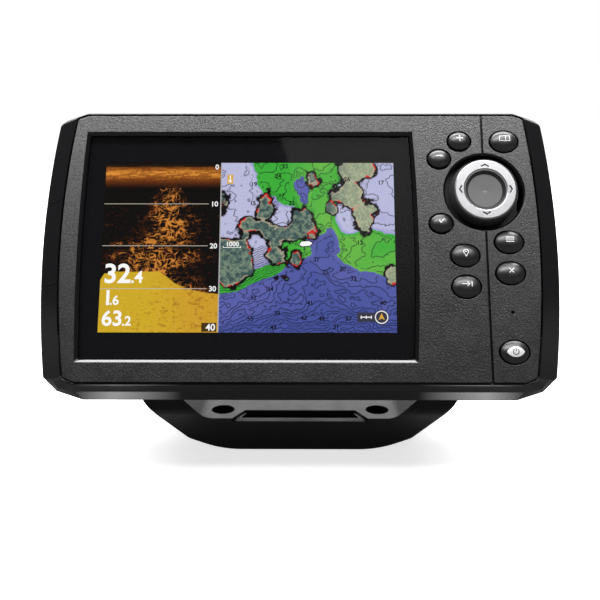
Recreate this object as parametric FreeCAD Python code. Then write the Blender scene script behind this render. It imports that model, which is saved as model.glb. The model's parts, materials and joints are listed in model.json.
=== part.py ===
import FreeCAD, Part
import math
import os

# Chartplotter display on a gimbal bracket. Lengths are millimetres, angles degrees.
# World frame: +X to the right, -Y towards the viewer, +Z up, origin at the middle of
# the bracket's underside.
# Head frame, used to draw the display head upright: x right, y back from the front
# face, z up, origin on the face at the height of the screen's middle.

# ---- bracket -----------------------------------------------------------------------
BASE_HALF_DEPTH = 24.0
PLATE_TOP = 13.5           # upper face of the base plate
WEB = 3.4                  # thickness of the plate and of the arms' webs
FLANGE = 2.6               # thickness of the rim round the plate and arms
BEND_IN = 38.3             # where the plate turns up into the arm, inner side
BEND_OUT = 39.1            # where the arm's slope would meet the floor
KINK_X, KINK_SLOPE = 45.3, 20.0    # the underside rises gently up to here
ARM_SLOPE = 38.4           # slope of the arm between its two bends
ARM_IN = 58.5              # inner face of the upright part of an arm
ARM_OUT = 67.0             # outer edge of the arm's rim
ARM_HALF = 13.0            # half the arm's width at the pivot
HOLE_X, HOLE_Y = 32.0, 14.5     # fixing holes, from the middle of the base
HOLE_R, HEAD_R = 2.5, 4.7       # fixing hole and the well for its screw head
WELL_WALL = 2.0
WELL_FLOOR = 3.0
NOTCH_FRONT, NOTCH_REAR = 24.2, 22.0    # half widths of the cable slot
NOTCH_DEPTH = 7.9          # from the plate's front edge to the back of the slot
RECESS_DROP = 0.8          # the slot lies in a shallow tapered recess
RECESS_MARGIN = 0.8
RECESS_FLARE = 1.3         # the recess widens this much faster than the slot
LIP_DROP = 1.5             # the recess slopes down to this at the front edge

# ---- tilt pivot --------------------------------------------------------------------
TILT = 26.4                # the head leans back this far at rest
PIVOT_Y = -3.2             # pivot in the world frame
PIVOT_Z = 69.4
PIVOT_BACK = 40.0          # pivot behind the front face, head frame
STUD_R = 4.0
FIT = 0.05                 # radial running clearance

# ---- head outline: depth, half width, top, bottom, side radius ---------------------
SIDE_MID = 0.6             # height at which the sides are widest
GROOVE = 0.65              # groove between the face and its surround
GROOVE_DEPTH = 0.9
FACE_HALF, FACE_TOP, FACE_BOTTOM = 87.2, 50.8, -49.5
RIM_HALF, RIM_TOP, RIM_BOTTOM = 96.6, 56.0, -55.0
RIM_Y = 9.0                # depth of the widest outline
PART_Y = 12.5              # joint between the front bezel and the rear case
CREASE_Y = 5.0             # crease that splits the chin into two facets
FACE_WALL = 3.0
TRIM_INSET = 1.9           # how far the bezel lies inside the side trims
TRIM_END = -47.8           # lower end of the side trims
REAR_Y = 23.0              # back of the shallow part of the rear case
WALL = 2.4

# ---- screen ------------------------------------------------------------------------
SCREEN_X = -18.9           # screen's middle, left of the head's middle
ACTIVE_W, ACTIVE_H = 108.0, 64.8
WINDOW_HALF, WINDOW_LOW, WINDOW_HIGH = 60.8, -41.1, 43.0
WINDOW_RADIUS = 700.0
BEVEL = 1.5
LIP = 1.2                  # depth of the window's lip
TAPE = 0.3
GLASS_T = 1.8
GLASS_BORDER = 2.6
LCD_W, LCD_H = 120.7, 75.8

# ---- controls ----------------------------------------------------------------------
COL_INNER, COL_MID, COL_OUTER = 51.7, 60.0, 76.1
SMALL_KEY = (9.4, 8.3)     # width and height of a small key's opening
LARGE_KEY = (11.3, 9.15)
KEY_GAP = 0.65
KEYS = {
    "key_zoom_in": (COL_MID - 0.6, 40.6, SMALL_KEY),
    "key_zoom_out": (COL_INNER, 33.6, SMALL_KEY),
    "key_check": (COL_INNER, 8.6, SMALL_KEY),
    "key_view": (COL_OUTER, 40.5, LARGE_KEY),
    "key_mark": (COL_MID, -3.5, LARGE_KEY),
    "key_goto": (COL_MID, -15.1, LARGE_KEY),
    "key_menu": (COL_OUTER, 1.5, LARGE_KEY),
    "key_exit": (COL_OUTER, -10.1, LARGE_KEY),
    "key_power": (COL_OUTER, -38.8, LARGE_KEY),
}
INLAY_W, INLAY_H = 6.3, 3.8    # pointed metal oval on the power key
INLAY_BOW = 14.4
PAD_X, PAD_Z = 68.0, 20.9
PAD_HOLE_R = 14.45
PAD_R = 12.5
RING_OUT, RING_IN = 11.4, 7.75
CHEVRON_TIP, CHEVRON_ARM, CHEVRON_RISE, CHEVRON_LINE = 9.9, 1.45, 0.85, 0.68
PAD_PIVOT_Y = 6.0          # depth of the pad's rocking point
NUB_R, NUB_AT = 1.2, 9.5
TILT_PIN_R, ROLL_PIN_R = 0.5, 0.45     # pins of the cross under the pad
EAR_AT, EAR_T, EAR_HALF = 2.4, 1.0, 1.1
SOUNDER_X, SOUNDER_Z, SOUNDER_R = 76.2, -24.4, 0.65
MAT_Y, MAT_T = 5.0, 0.8
DOME_Y = 6.95
KEY_BOARD_Y, KEY_BOARD_T = 7.4, 1.6
PANEL_X0, PANEL_X1 = 44.9, 81.0     # key board and mat, left and right edges
PANEL_Z0, PANEL_Z1 = -44.6, 46.2

# ---- card door ---------------------------------------------------------------------
DOOR_LOW, DOOR_HIGH = -14.0, 18.0
DOOR_GAP = 0.25
HINGE_X, HINGE_Y = -94.6, 8.9
BARREL_R = 2.0
DOOR_PIN_R = 0.6
CARD_Z, CARD_W = 2.0, 13.0
CARD_Y0, CARD_Y1 = 5.6, 8.4

# ---- rear case and what it carries -------------------------------------------------
DEEP_HALF = 57.0           # half width of the deep part that sits between the arms
DEEP_Y = 57.0
SCREWS = [(-86.0, 38.0), (86.0, 38.0), (-86.0, -36.0), (86.0, -36.0), (0.0, 49.4), (0.0, -47.6)]
SCREW_R, SCREW_HEAD_R = 1.45, 2.6
BOARD_Y, BOARD_T = 12.0, 1.6
SOCKETS = {"power": (-30.0, 8.0, 3), "sonar": (0.0, 9.5, 7), "data": (30.0, 8.0, 5)}
SOCKET_Z = -4.0
COLLAR_LENGTH = 9.0
INSERT_R, INSERT_LENGTH = 6.5, 12.0

# ---- mounting knobs ----------------------------------------------------------------
BOSS_OUT = 67.6            # outer face of the arm's boss
BOSS_R = 8.0
WASHER_R, WASHER_T = 9.0, 1.5
KNOB_R, KNOB_DEPTH = 17.0, 15.0
LOBES = 8

EPS = 0.01
X, Y, Z = FreeCAD.Vector(1, 0, 0), FreeCAD.Vector(0, 1, 0), FreeCAD.Vector(0, 0, 1)


def vec(x, y, z):
    return FreeCAD.Vector(x, y, z)


# ---- drawing helpers ---------------------------------------------------------------
def box(x0, x1, y0, y1, z0, z1):
    return Part.makeBox(x1 - x0, y1 - y0, z1 - z0, vec(x0, y0, z0))


def tube_y(x, z, r, y0, y1):
    """Cylinder along the depth axis."""
    return Part.makeCylinder(r, y1 - y0, vec(x, y0, z), Y)


def tube_x(y, z, r, x0, x1):
    """Cylinder along the width axis."""
    return Part.makeCylinder(r, x1 - x0, vec(x0, y, z), X)


def tube_z(x, y, r, z0, z1):
    """Cylinder along the height axis."""
    return Part.makeCylinder(r, z1 - z0, vec(x, y, z0), Z)


def fuse(shapes):
    """One solid out of touching or overlapping shapes."""
    return shapes[0].multiFuse(shapes[1:]).removeSplitter()


def cut(shape, tools):
    return shape.cut(list(tools)) if tools else shape


def rounded_loop(corners):
    """Closed wire through corners given as (point, radius), each corner rounded."""
    edges, ends = [], []
    count = len(corners)
    for i, (point, radius) in enumerate(corners):
        before = (corners[i - 1][0] - point).normalize()
        after = (corners[(i + 1) % count][0] - point).normalize()
        if radius <= 0:
            ends.append((point, point))
            continue
        half = before.getAngle(after) / 2
        reach = radius / math.tan(half)
        start, stop = point + before * reach, point + after * reach
        middle = (before + after).normalize()
        centre = point + middle * (radius / math.sin(half))
        edges.append(Part.Arc(start, centre - middle * radius, stop).toShape())
        ends.append((start, stop))
    for i in range(count):
        a, b = ends[i][1], ends[(i + 1) % count][0]
        if (b - a).Length > 1e-6:
            edges.append(Part.LineSegment(a, b).toShape())
    return Part.Wire(Part.__sortEdges__(edges))


def prism(wire, direction):
    return Part.Face(wire).extrude(direction)


def spin_y(points, x, z):
    """Solid of revolution about a depth-wise axis, from (radius, depth) points."""
    wire = Part.makePolygon([vec(r, y, 0) for r, y in points] + [vec(points[0][0], points[0][1], 0)])
    solid = Part.Face(wire).revolve(vec(0, 0, 0), Y, 360)
    return solid.translate(vec(x, 0, z))


def to_world(shape):
    """Lean the upright head back about its pivot and carry it to the bracket."""
    moved = shape.copy()
    moved.rotate(vec(0, PIVOT_BACK, 0), X, -TILT)
    moved.translate(vec(0, PIVOT_Y - PIVOT_BACK, PIVOT_Z))
    return moved


# ---- outline of the head -----------------------------------------------------------
def side_x(half, radius, z):
    """Half width at height z of a side that bows outward."""
    return half - (z - SIDE_MID) ** 2 / (2 * radius)


def outline(y, half, top, bottom, radius, top_cut, low_cut):
    """Closed outline of the head at depth y.

    top_cut is the width and height of the sloped upper corners; low_cut gives the two
    facets of a lower corner as (width, width, height, height)."""
    far, near, rise, step = low_cut
    corner = side_x(half, radius, bottom)
    z_low, z_high = bottom + rise, top - top_cut[1]
    upper = side_x(half, radius, top)
    shoulder = 0.16 * top_cut[0], 0.44 * top_cut[1]
    right = {
        "flat": (corner - far, bottom), "knee": (corner - near, bottom + step),
        "low": (side_x(half, radius, z_low), z_low),
        "middle": (side_x(half, radius, (z_low + z_high) / 2), (z_low + z_high) / 2),
        "high": (side_x(half, radius, z_high), z_high),
        "round": (upper - shoulder[0] * 0.18, z_high + shoulder[1] * 0.62),
        "slope": (upper - shoulder[0], z_high + shoulder[1]), "crown": (upper - top_cut[0], top),
    }

    def at(name, sign):
        return vec(sign * right[name][0], y, right[name][1])

    def line(a, b):
        return Part.LineSegment(a, b).toShape()

    edges = [line(at("flat", -1), at("flat", 1))]
    edges += [line(at("flat", 1), at("knee", 1)), line(at("knee", 1), at("low", 1))]
    edges.append(Part.Arc(at("low", 1), at("middle", 1), at("high", 1)).toShape())
    edges.append(Part.Arc(at("high", 1), at("round", 1), at("slope", 1)).toShape())
    edges += [line(at("slope", 1), at("crown", 1)), line(at("crown", 1), at("crown", -1))]
    edges.append(line(at("crown", -1), at("slope", -1)))
    edges.append(Part.Arc(at("slope", -1), at("round", -1), at("high", -1)).toShape())
    edges.append(Part.Arc(at("high", -1), at("middle", -1), at("low", -1)).toShape())
    edges += [line(at("low", -1), at("knee", -1)), line(at("knee", -1), at("flat", -1))]
    return Part.Wire(edges)


def face_line(y, grow=0.0):
    """Outline of the flat front face."""
    return outline(y, FACE_HALF + grow, FACE_TOP + grow, FACE_BOTTOM - grow, 320.0,
                   (3.6, 1.8), (3.7, 1.8, 1.8, 0.8))


def crease_line(grow=0.0):
    return outline(CREASE_Y, 92.7 + grow, 54.1 + grow, -52.5 - grow, 330.0,
                   (7.0, 3.9), (8.0, 1.8, 4.8, 1.3))


def rim_line(y, grow=0.0):
    return outline(y, RIM_HALF + grow, RIM_TOP + grow, RIM_BOTTOM - grow, 340.0,
                   (10.0, 5.4), (13.8, 4.1, 8.1, 3.1))


def front_shell(grow=0.0):
    """Outer volume of the bezel and its trims, back to the joint with the case."""
    return Part.makeLoft([face_line(0.0, GROOVE + grow), crease_line(grow),
                          rim_line(RIM_Y, grow), rim_line(PART_Y, grow - 0.4)], True, True)


def window_loop(y, grow):
    """Window outline; the sides bow outward a little."""
    half = WINDOW_HALF + grow
    low, high = WINDOW_LOW - grow, WINDOW_HIGH + grow
    middle = (low + high) / 2
    inset = half - (high - low) ** 2 / (8 * WINDOW_RADIUS)
    corners = [vec(SCREEN_X + sx * inset, y, z) for sx, z in ((-1, low), (1, low), (1, high), (-1, high))]
    edges = [Part.LineSegment(corners[0], corners[1]).toShape()]
    edges.append(Part.Arc(corners[1], vec(SCREEN_X + half, y, middle), corners[2]).toShape())
    edges.append(Part.LineSegment(corners[2], corners[3]).toShape())
    edges.append(Part.Arc(corners[3], vec(SCREEN_X - half, y, middle), corners[0]).toShape())
    return Part.Wire(edges)


def oval(x, z, width, height, y0, y1):
    """Oval column along the depth axis."""
    column = tube_y(0, 0, width / 2, y0, y1)
    squeeze = FreeCAD.Matrix()
    squeeze.scale(1, 1, height / width)
    return column.transformGeometry(squeeze).translate(vec(x, 0, z))


# ---- front of the head -------------------------------------------------------------
def trim_zone():
    """Everything beyond the face's side edges and above the trims' lower ends."""
    tall, wide = 120.0, 140.0
    slab = box(-wide, wide, -1.0, RIM_Y, TRIM_END, tall)
    face = prism(outline(-2.0, FACE_HALF + GROOVE, tall, -tall, 320.0, (0.5, 0.5),
                         (0.6, 0.3, 0.6, 0.3)), vec(0, 20, 0))
    return slab.cut(face)


def door_zone(gap):
    return box(-140, 0, -1.0, RIM_Y, DOOR_LOW + gap, DOOR_HIGH - gap)


def hinge_lugs(radius):
    """Lugs under the trim that hold the card door's pin."""
    cover = front_shell(-0.8)
    lugs = [tube_z(HINGE_X, HINGE_Y, radius, DOOR_HIGH, DOOR_HIGH + 3.0),
            tube_z(HINGE_X, HINGE_Y, radius, DOOR_LOW - 3.0, DOOR_LOW)]
    return [lug.common(cover) for lug in lugs]


def key_openings():
    tools = [oval(x, z, size[0], size[1], -1.0, FACE_WALL + 1.0) for x, z, size in KEYS.values()]
    tools.append(tube_y(PAD_X, PAD_Z, PAD_HOLE_R, -1.0, FACE_WALL + 1.0))
    tools.append(Part.makeCone(PAD_HOLE_R + 0.7, PAD_HOLE_R, 0.7, vec(PAD_X, 0, PAD_Z), Y))
    tools.append(tube_y(SOUNDER_X, SOUNDER_Z, SOUNDER_R, -1.0, FACE_WALL + 1.0))
    return tools


def front_bezel(shell, core):
    zone = trim_zone()
    body = shell.cut(zone).fuse(shell.common(core))
    hollow = Part.makeLoft([rim_line(FACE_WALL, -8.2), rim_line(RIM_Y, -4.6),
                            rim_line(PART_Y + 1.0, -3.2)], True, True)
    groove = prism(face_line(-1.0, GROOVE + 0.05), vec(0, 1 + GROOVE_DEPTH, 0))
    groove = groove.cut(prism(face_line(-2.0), vec(0, 4, 0)))
    window = Part.makeLoft([window_loop(-0.3, BEVEL * 1.25), window_loop(LIP, 0.0)], True, True)
    pocket = prism(window_loop(LIP, GLASS_BORDER + 0.1), vec(0, FACE_WALL, 0))
    rule = box(PAD_X - 0.4, PAD_X + 0.4, -1.0, 0.7, FACE_BOTTOM - 1.0, FACE_TOP + GROOVE)
    body = cut(body, [hollow, groove, window, pocket, rule])
    bosses = [tube_y(x, z, 3.2, FACE_WALL - 0.5, PART_Y) for x, z in SCREWS]
    body = fuse([body] + [boss.common(core) for boss in bosses] + hinge_lugs(1.7))
    holes = [tube_y(x, z, SCREW_R + FIT, FACE_WALL + 1.5, PART_Y + 1.0) for x, z in SCREWS]
    door_room = tube_z(HINGE_X, HINGE_Y, BARREL_R + 0.15, DOOR_LOW, DOOR_HIGH)
    slot = box(-100, -84, CARD_Y0 + 0.6, CARD_Y1 - 0.6, CARD_Z - CARD_W / 2, CARD_Z + CARD_W / 2)
    nook = box(-90.2, -79.0, CARD_Y0 - 0.2, PART_Y + 1, CARD_Z - 9.0, CARD_Z + 9.0)
    return cut(body, key_openings() + holes + [door_room, door_pin(), slot, nook])


def side_trims(shell, core):
    """The glossy side panels: one on the right, two on the left round the card door."""
    trims = shell.common(trim_zone()).cut(core)
    trims = cut(trims, [door_zone(0.0), door_pin()] + hinge_lugs(1.75))
    panels = largest(trims, 3)
    panels.sort(key=lambda panel: (panel.CenterOfMass.x > 0, panel.CenterOfMass.z))
    return dict(zip(("side_trim_lower_left", "side_trim_upper_left", "side_trim_right"), panels))


def largest(shape, count):
    """The biggest solids of a shape, without the slivers that a cut leaves behind."""
    return sorted(shape.Solids, key=lambda solid: -solid.Volume)[:count]


def card_door(shell, core):
    zone = trim_zone().common(door_zone(DOOR_GAP))
    panel = shell.common(zone).cut(core)
    barrel = tube_z(HINGE_X, HINGE_Y, BARREL_R, DOOR_LOW + DOOR_GAP, DOOR_HIGH - DOOR_GAP)
    door = largest(panel, 1)[0].fuse(barrel.common(shell)).removeSplitter()
    pull = tube_z(-91.3, 1.9, 0.9, CARD_Z - 4, CARD_Z + 4)
    bore = tube_z(HINGE_X, HINGE_Y, DOOR_PIN_R + FIT, DOOR_LOW - 1, DOOR_HIGH + 1)
    return cut(door, [bore, pull])


def door_pin():
    return tube_z(HINGE_X, HINGE_Y, DOOR_PIN_R, DOOR_LOW - 2.5, DOOR_HIGH + 2.5)


# ---- screen stack ------------------------------------------------------------------
def glass_front():
    return LIP + TAPE


def glass_tape():
    outer = prism(window_loop(LIP, GLASS_BORDER), vec(0, TAPE, 0))
    return outer.cut(prism(window_loop(LIP - 1, 0.3), vec(0, 3, 0)))


def screen_glass():
    return prism(window_loop(glass_front(), GLASS_BORDER), vec(0, GLASS_T, 0))


def lcd_panel():
    y = glass_front() + GLASS_T + 0.3
    half_w, half_h = ACTIVE_W / 2 + 3.0, ACTIVE_H / 2 + 2.4
    return box(SCREEN_X - half_w, SCREEN_X + half_w, y, y + 1.4, -half_h, half_h)


def lcd_backlight():
    y = glass_front() + GLASS_T + 0.3
    half_w, half_h = LCD_W / 2, LCD_H / 2
    tray = box(SCREEN_X - half_w, SCREEN_X + half_w, y, y + 4.0, -half_h, half_h)
    panel_half_w, panel_half_h = ACTIVE_W / 2 + 3.1, ACTIVE_H / 2 + 2.5
    seat = box(SCREEN_X - panel_half_w, SCREEN_X + panel_half_w, y - 1, y + 1.45,
               -panel_half_h, panel_half_h)
    return tray.cut(seat)


def lcd_flex():
    """Ribbon from the screen's tray back to the main board."""
    y = glass_front() + GLASS_T + 4.3
    return box(SCREEN_X - 12, SCREEN_X + 12, y + 0.05, BOARD_Y, -30.0, -29.7)


# ---- controls ----------------------------------------------------------------------
def key_cap(x, z, size):
    """Domed oval key with a retaining flange and a plunger."""
    r = size[0] / 2 - KEY_GAP
    dome = Part.Arc(vec(r, -0.3, 0), vec(0.62 * r, -1.35, 0), vec(0, -1.75, 0)).toShape()
    corners = [vec(0, -1.75, 0), vec(0, 3.9, 0), vec(r + 0.95, 3.9, 0), vec(r + 0.95, 3.15, 0),
               vec(r, 3.15, 0), vec(r, -0.3, 0)]
    sides = [Part.LineSegment(a, b).toShape() for a, b in zip(corners, corners[1:])]
    cap = Part.Face(Part.Wire(Part.__sortEdges__([dome] + sides))).revolve(vec(0, 0, 0), Y, 360)
    squeeze = FreeCAD.Matrix()
    squeeze.scale(1, 1, size[1] / size[0])
    cap = cap.transformGeometry(squeeze).translate(vec(x, 0, z))
    return fuse([cap, tube_y(x, z, 1.5, 3.5, PAD_PIVOT_Y)])


def power_inlay_seat(grow=0.0):
    """Column with the pointed oval outline of the power key's inlay."""
    x, z, _ = KEYS["key_power"]
    half_w, half_h = INLAY_W / 2 + grow, INLAY_H / 2 + grow
    left, right = vec(x - half_w, -3.0, z), vec(x + half_w, -3.0, z)
    upper = Part.Arc(left, vec(x, -3.0, z + half_h), right).toShape()
    lower = Part.Arc(right, vec(x, -3.0, z - half_h), left).toShape()
    return prism(Part.Wire([upper, lower]), vec(0, 2.0, 0))


def power_inlay():
    """Metal oval let into the power key, its bowed top a little proud of the dome."""
    x, z, _ = KEYS["key_power"]
    return power_inlay_seat().common(Part.makeSphere(INLAY_BOW, vec(x, INLAY_BOW - 1.95, z)))


def cursor_pad():
    profile = [(0, 4.4), (5.0, 4.4), (5.0, 1.8), (PAD_R, 1.8), (PAD_R, 0.4), (11.9, -1.9),
               (RING_OUT + 0.25, -2.2), (RING_OUT + 0.02, -1.9), (RING_IN - 0.02, -1.9),
               (RING_IN - 0.05, -2.55), (RING_IN - 0.35, -2.6), (6.3, -1.35), (0, -1.1)]
    pad = spin_y(profile, PAD_X, PAD_Z)
    nubs = [tube_y(PAD_X + dx, PAD_Z + dz, NUB_R, 1.5, PAD_PIVOT_Y) for dx, dz in compass(NUB_AT)]
    ears = [box(PAD_X - EAR_HALF, PAD_X + EAR_HALF, 4.0, PAD_PIVOT_Y + 0.7, z0, z0 + EAR_T)
            for z0 in (PAD_Z + EAR_AT, PAD_Z - EAR_AT - EAR_T)]
    bore = tube_z(PAD_X, PAD_PIVOT_Y, ROLL_PIN_R + FIT, PAD_Z - 5.0, PAD_Z + 5.0)
    return fuse([pad] + nubs + ears).cut(bore)


def compass(r):
    return [(r, 0), (-r, 0), (0, r), (0, -r)]


def cursor_ring():
    profile = [(RING_IN, -1.9), (RING_OUT, -1.9), (RING_OUT, -2.45), (RING_OUT - 0.5, -2.85),
               (RING_IN + 0.4, -2.85), (RING_IN, -2.6)]
    ring = spin_y(profile, PAD_X, PAD_Z)
    return cut(ring, [chevron(angle) for angle in (0, 90, 180, 270)])


def chevron(angle):
    """Shallow V-shaped mark on the ring, pointing outward."""
    tip, foot = CHEVRON_TIP, CHEVRON_TIP - CHEVRON_RISE
    path = [vec(-CHEVRON_ARM, 0, foot), vec(0, 0, tip), vec(CHEVRON_ARM, 0, foot),
            vec(CHEVRON_ARM, 0, foot - CHEVRON_LINE), vec(0, 0, tip - CHEVRON_LINE),
            vec(-CHEVRON_ARM, 0, foot - CHEVRON_LINE), vec(-CHEVRON_ARM, 0, foot)]
    mark = Part.Face(Part.makePolygon(path)).extrude(vec(0, 0.35, 0))
    mark.translate(vec(0, -2.9, 0))
    mark.rotate(vec(0, 0, 0), Y, angle)
    return mark.translate(vec(PAD_X, 0, PAD_Z))


def cursor_gimbal():
    """Small cross on whose pins the pad rocks both ways."""
    reach = EAR_AT + EAR_T
    hub = tube_y(PAD_X, PAD_Z, 1.6, PAD_PIVOT_Y - 0.9, PAD_PIVOT_Y + 0.75)
    tilt_pin = tube_x(PAD_PIVOT_Y, PAD_Z, TILT_PIN_R, PAD_X - reach, PAD_X + reach)
    roll_pin = tube_z(PAD_X, PAD_PIVOT_Y, ROLL_PIN_R, PAD_Z - reach, PAD_Z + reach)
    return fuse([hub, tilt_pin, roll_pin])


def cursor_post():
    """Plate on the key board with two ears that hold the cross."""
    plate = tube_y(PAD_X, PAD_Z, 4.4, KEY_BOARD_Y - 0.25, KEY_BOARD_Y)
    ears = [box(x0, x0 + EAR_T, PAD_PIVOT_Y - 0.8, KEY_BOARD_Y - 0.1, PAD_Z - EAR_HALF, PAD_Z + EAR_HALF)
            for x0 in (PAD_X + EAR_AT, PAD_X - EAR_AT - EAR_T)]
    bore = tube_x(PAD_PIVOT_Y, PAD_Z, TILT_PIN_R + FIT, PAD_X - 5.0, PAD_X + 5.0)
    return fuse([plate] + ears).cut(bore)


def keypad_mat():
    mat = box(PANEL_X0, PANEL_X1, MAT_Y, MAT_Y + MAT_T, PANEL_Z0, PANEL_Z1)
    holes = [tube_y(x, z, 1.9, 0, 20) for x, z, _ in KEYS.values()]
    holes += [tube_y(PAD_X + dx, PAD_Z + dz, NUB_R + 0.7, 0, 20) for dx, dz in compass(NUB_AT)]
    holes.append(tube_y(PAD_X, PAD_Z, 5.0, 0, 20))
    holes.append(tube_y(SOUNDER_X, SOUNDER_Z, SOUNDER_R, 0, 20))
    return cut(mat, holes)


def key_board():
    return box(PANEL_X0, PANEL_X1, KEY_BOARD_Y, KEY_BOARD_Y + KEY_BOARD_T, PANEL_Z0, PANEL_Z1)


def snap_domes():
    spots = [(x, z) for x, z, _ in KEYS.values()]
    spots += [(PAD_X + dx, PAD_Z + dz) for dx, dz in compass(NUB_AT)]
    domes = []
    for x, z in spots:
        domes.append(spin_y([(0, DOME_Y), (1.2, DOME_Y + 0.05), (2.5, KEY_BOARD_Y - 0.1),
                             (2.5, KEY_BOARD_Y), (0, KEY_BOARD_Y)], x, z))
    return Part.makeCompound(domes)


def key_flex():
    """Ribbon from the key board to the main board."""
    return box(48.0, 60.0, KEY_BOARD_Y + KEY_BOARD_T, BOARD_Y, -34.0, -33.7)


# ---- electronics -------------------------------------------------------------------
def main_board():
    board = box(-78.0, 80.0, BOARD_Y, BOARD_Y + BOARD_T, -38.0, 40.0)
    return cut(board, [tube_y(x, z, SCREW_R + FIT, 0, 40) for x, z in board_holes()])


def board_holes():
    return [(-72.0, 34.0), (72.0, 34.0), (-72.0, -32.0), (72.0, -32.0)]


def processor_shield():
    top = BOARD_Y + BOARD_T
    can = box(-24.0, 22.0, top, top + 3.2, -16.0, 22.0)
    return can.cut(box(-23.6, 21.6, top - 1, top + 2.8, -15.6, 21.6))


def heat_spreader():
    top = BOARD_Y + BOARD_T + 3.2
    plate = box(-44.0, 44.0, top, top + 1.5, -24.0, 28.0)
    fins = [box(x - 0.8, x + 0.8, top + 1.5, top + 9.0, -20.0, 24.0) for x in range(-40, 41, 8)]
    return fuse([plate] + fins)


def gps_antenna():
    """Square ceramic patch with its feed pin standing in the middle."""
    top = BOARD_Y + BOARD_T
    side, thick = 18.0, 4.0
    patch = box(52.0, 52.0 + side, top, top + thick, 10.0, 10.0 + side)
    return fuse([patch, tube_y(52.0 + side / 2, 10.0 + side / 2, 0.8, top + thick - 0.5, top + thick + 0.4)])


def coin_cell():
    top = BOARD_Y + BOARD_T
    return tube_y(-56.0, 22.0, 6.2, top, top + 2.1)


def sounder():
    """Beeper behind the small hole in the face."""
    back = KEY_BOARD_Y + KEY_BOARD_T
    return tube_y(SOUNDER_X - 1.5, SOUNDER_Z, 4.4, back, back + 2.6)


def sounder_membrane():
    """Waterproof disc over the sounder's hole, on the inner side of the face."""
    return tube_y(SOUNDER_X, SOUNDER_Z, 2.4, FACE_WALL, FACE_WALL + 0.3)


def card_socket():
    shell = box(-89.8, -79.9, CARD_Y0, CARD_Y1, CARD_Z - 7.4, CARD_Z + 7.4)
    mouth = box(-95.0, -80.5, CARD_Y0 + 0.7, CARD_Y1 - 0.7, CARD_Z - 5.6, CARD_Z + 5.6)
    return shell.cut(mouth)


def card_board():
    return box(-89.8, -79.9, CARD_Y1, CARD_Y1 + 1.0, CARD_Z - 8.6, CARD_Z + 8.6)


# ---- rear case ---------------------------------------------------------------------
def deep_profile(grow):
    """Side view of the deep middle of the rear case, as corners with their radii."""
    g = grow
    return [(vec(0, 18.0, 42.0 + g), 0), (vec(0, 46.0, 38.0 + g), 10.0 + g),
            (vec(0, DEEP_Y + g, 22.0), 8.0 + g), (vec(0, DEEP_Y + g, -24.0), 6.0 + g),
            (vec(0, 44.0, -39.0 - g), 10.0 + g), (vec(0, 18.0, -42.0 - g), 0)]


def deep_block(grow):
    wire = rounded_loop(deep_profile(grow))
    half = DEEP_HALF + grow
    block = prism(wire, vec(2 * half, 0, 0)).translate(vec(-half, 0, 0))
    return block


def soften(shape, edges, radius):
    """Round edges; leave the shape as it is if the round can't be made."""
    rounded = shape.makeFillet(radius, edges)
    return rounded if rounded.isValid() else shape


def deep_outer():
    block = deep_block(0.0)
    rims = [e for e in block.Edges if abs(abs(e.BoundBox.XMin) - DEEP_HALF) < EPS
            and e.BoundBox.XLength < EPS and e.BoundBox.YMax > 18.5]
    return soften(block, rims, 3.0)


def rear_case():
    shallow = Part.makeLoft([rim_line(PART_Y, -0.9), rim_line(17.0, -3.6), rim_line(21.0, -9.0),
                             rim_line(REAR_Y, -13.0)], True, True)
    body = fuse([shallow, deep_outer()])
    hollow_front = Part.makeLoft([rim_line(PART_Y - 1.0, -3.6), rim_line(17.0, -6.2),
                                  rim_line(REAR_Y - WALL, -14.5)], True, True)
    body = cut(body, [hollow_front, deep_block(-WALL)])
    inside = deep_block(-0.5)
    seats = [tube_x(PIVOT_BACK, 0, INSERT_R + 3.0, s * (DEEP_HALF - 7) - 7, s * (DEEP_HALF - 7) + 7)
             for s in (-1, 1)]
    posts = [tube_y(x, z, 3.0, BOARD_Y + BOARD_T, REAR_Y - 1.0) for x, z in board_holes()]
    bosses = [tube_y(x, z, 4.5, PART_Y, REAR_Y).common(shallow) for x, z in SCREWS]
    body = fuse([body] + [seat.common(inside) for seat in seats] + posts + bosses + fins_outside())
    holes = [fuse([tube_y(x, z, SCREW_R + FIT, PART_Y - 1, PART_Y + 4.0),
                   tube_y(x, z, SCREW_HEAD_R + 0.5, PART_Y + 3.5, REAR_Y + 7.0)]) for x, z in SCREWS]
    holes += [tube_y(x, z, SCREW_R + FIT, 10, REAR_Y - 3.0) for x, z in board_holes()]
    holes.append(vent_seat())
    for x, r, _ in SOCKETS.values():
        holes.append(tube_y(x, SOCKET_Z, r - 0.5, DEEP_Y - 10, DEEP_Y + 5))
    for sign in (-1, 1):
        inner, outer = sorted((sign * (DEEP_HALF - INSERT_LENGTH), sign * (DEEP_HALF + 1)))
        holes.append(tube_x(PIVOT_BACK, 0, INSERT_R, inner, outer))
    holes.append(seal_channel())
    return largest(cut(body, holes), 1)[0]


def fins_outside():
    """Cooling ribs on the back of the deep part, above the sockets."""
    return [box(x - 0.9, x + 0.9, DEEP_Y - 1.0, DEEP_Y + 1.6, 9.0, 20.0) for x in range(-48, 49, 6)]


def seal_ring(inner, outer, y0, y1):
    ring = prism(rim_line(y0, -outer), vec(0, y1 - y0, 0))
    return ring.cut(prism(rim_line(y0 - 1, -inner), vec(0, y1 - y0 + 2, 0)))


def seal_channel():
    return seal_ring(2.9, 1.6, PART_Y, PART_Y + 1.1)


def case_seal():
    return seal_ring(2.85, 1.65, PART_Y, PART_Y + 1.05)


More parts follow.
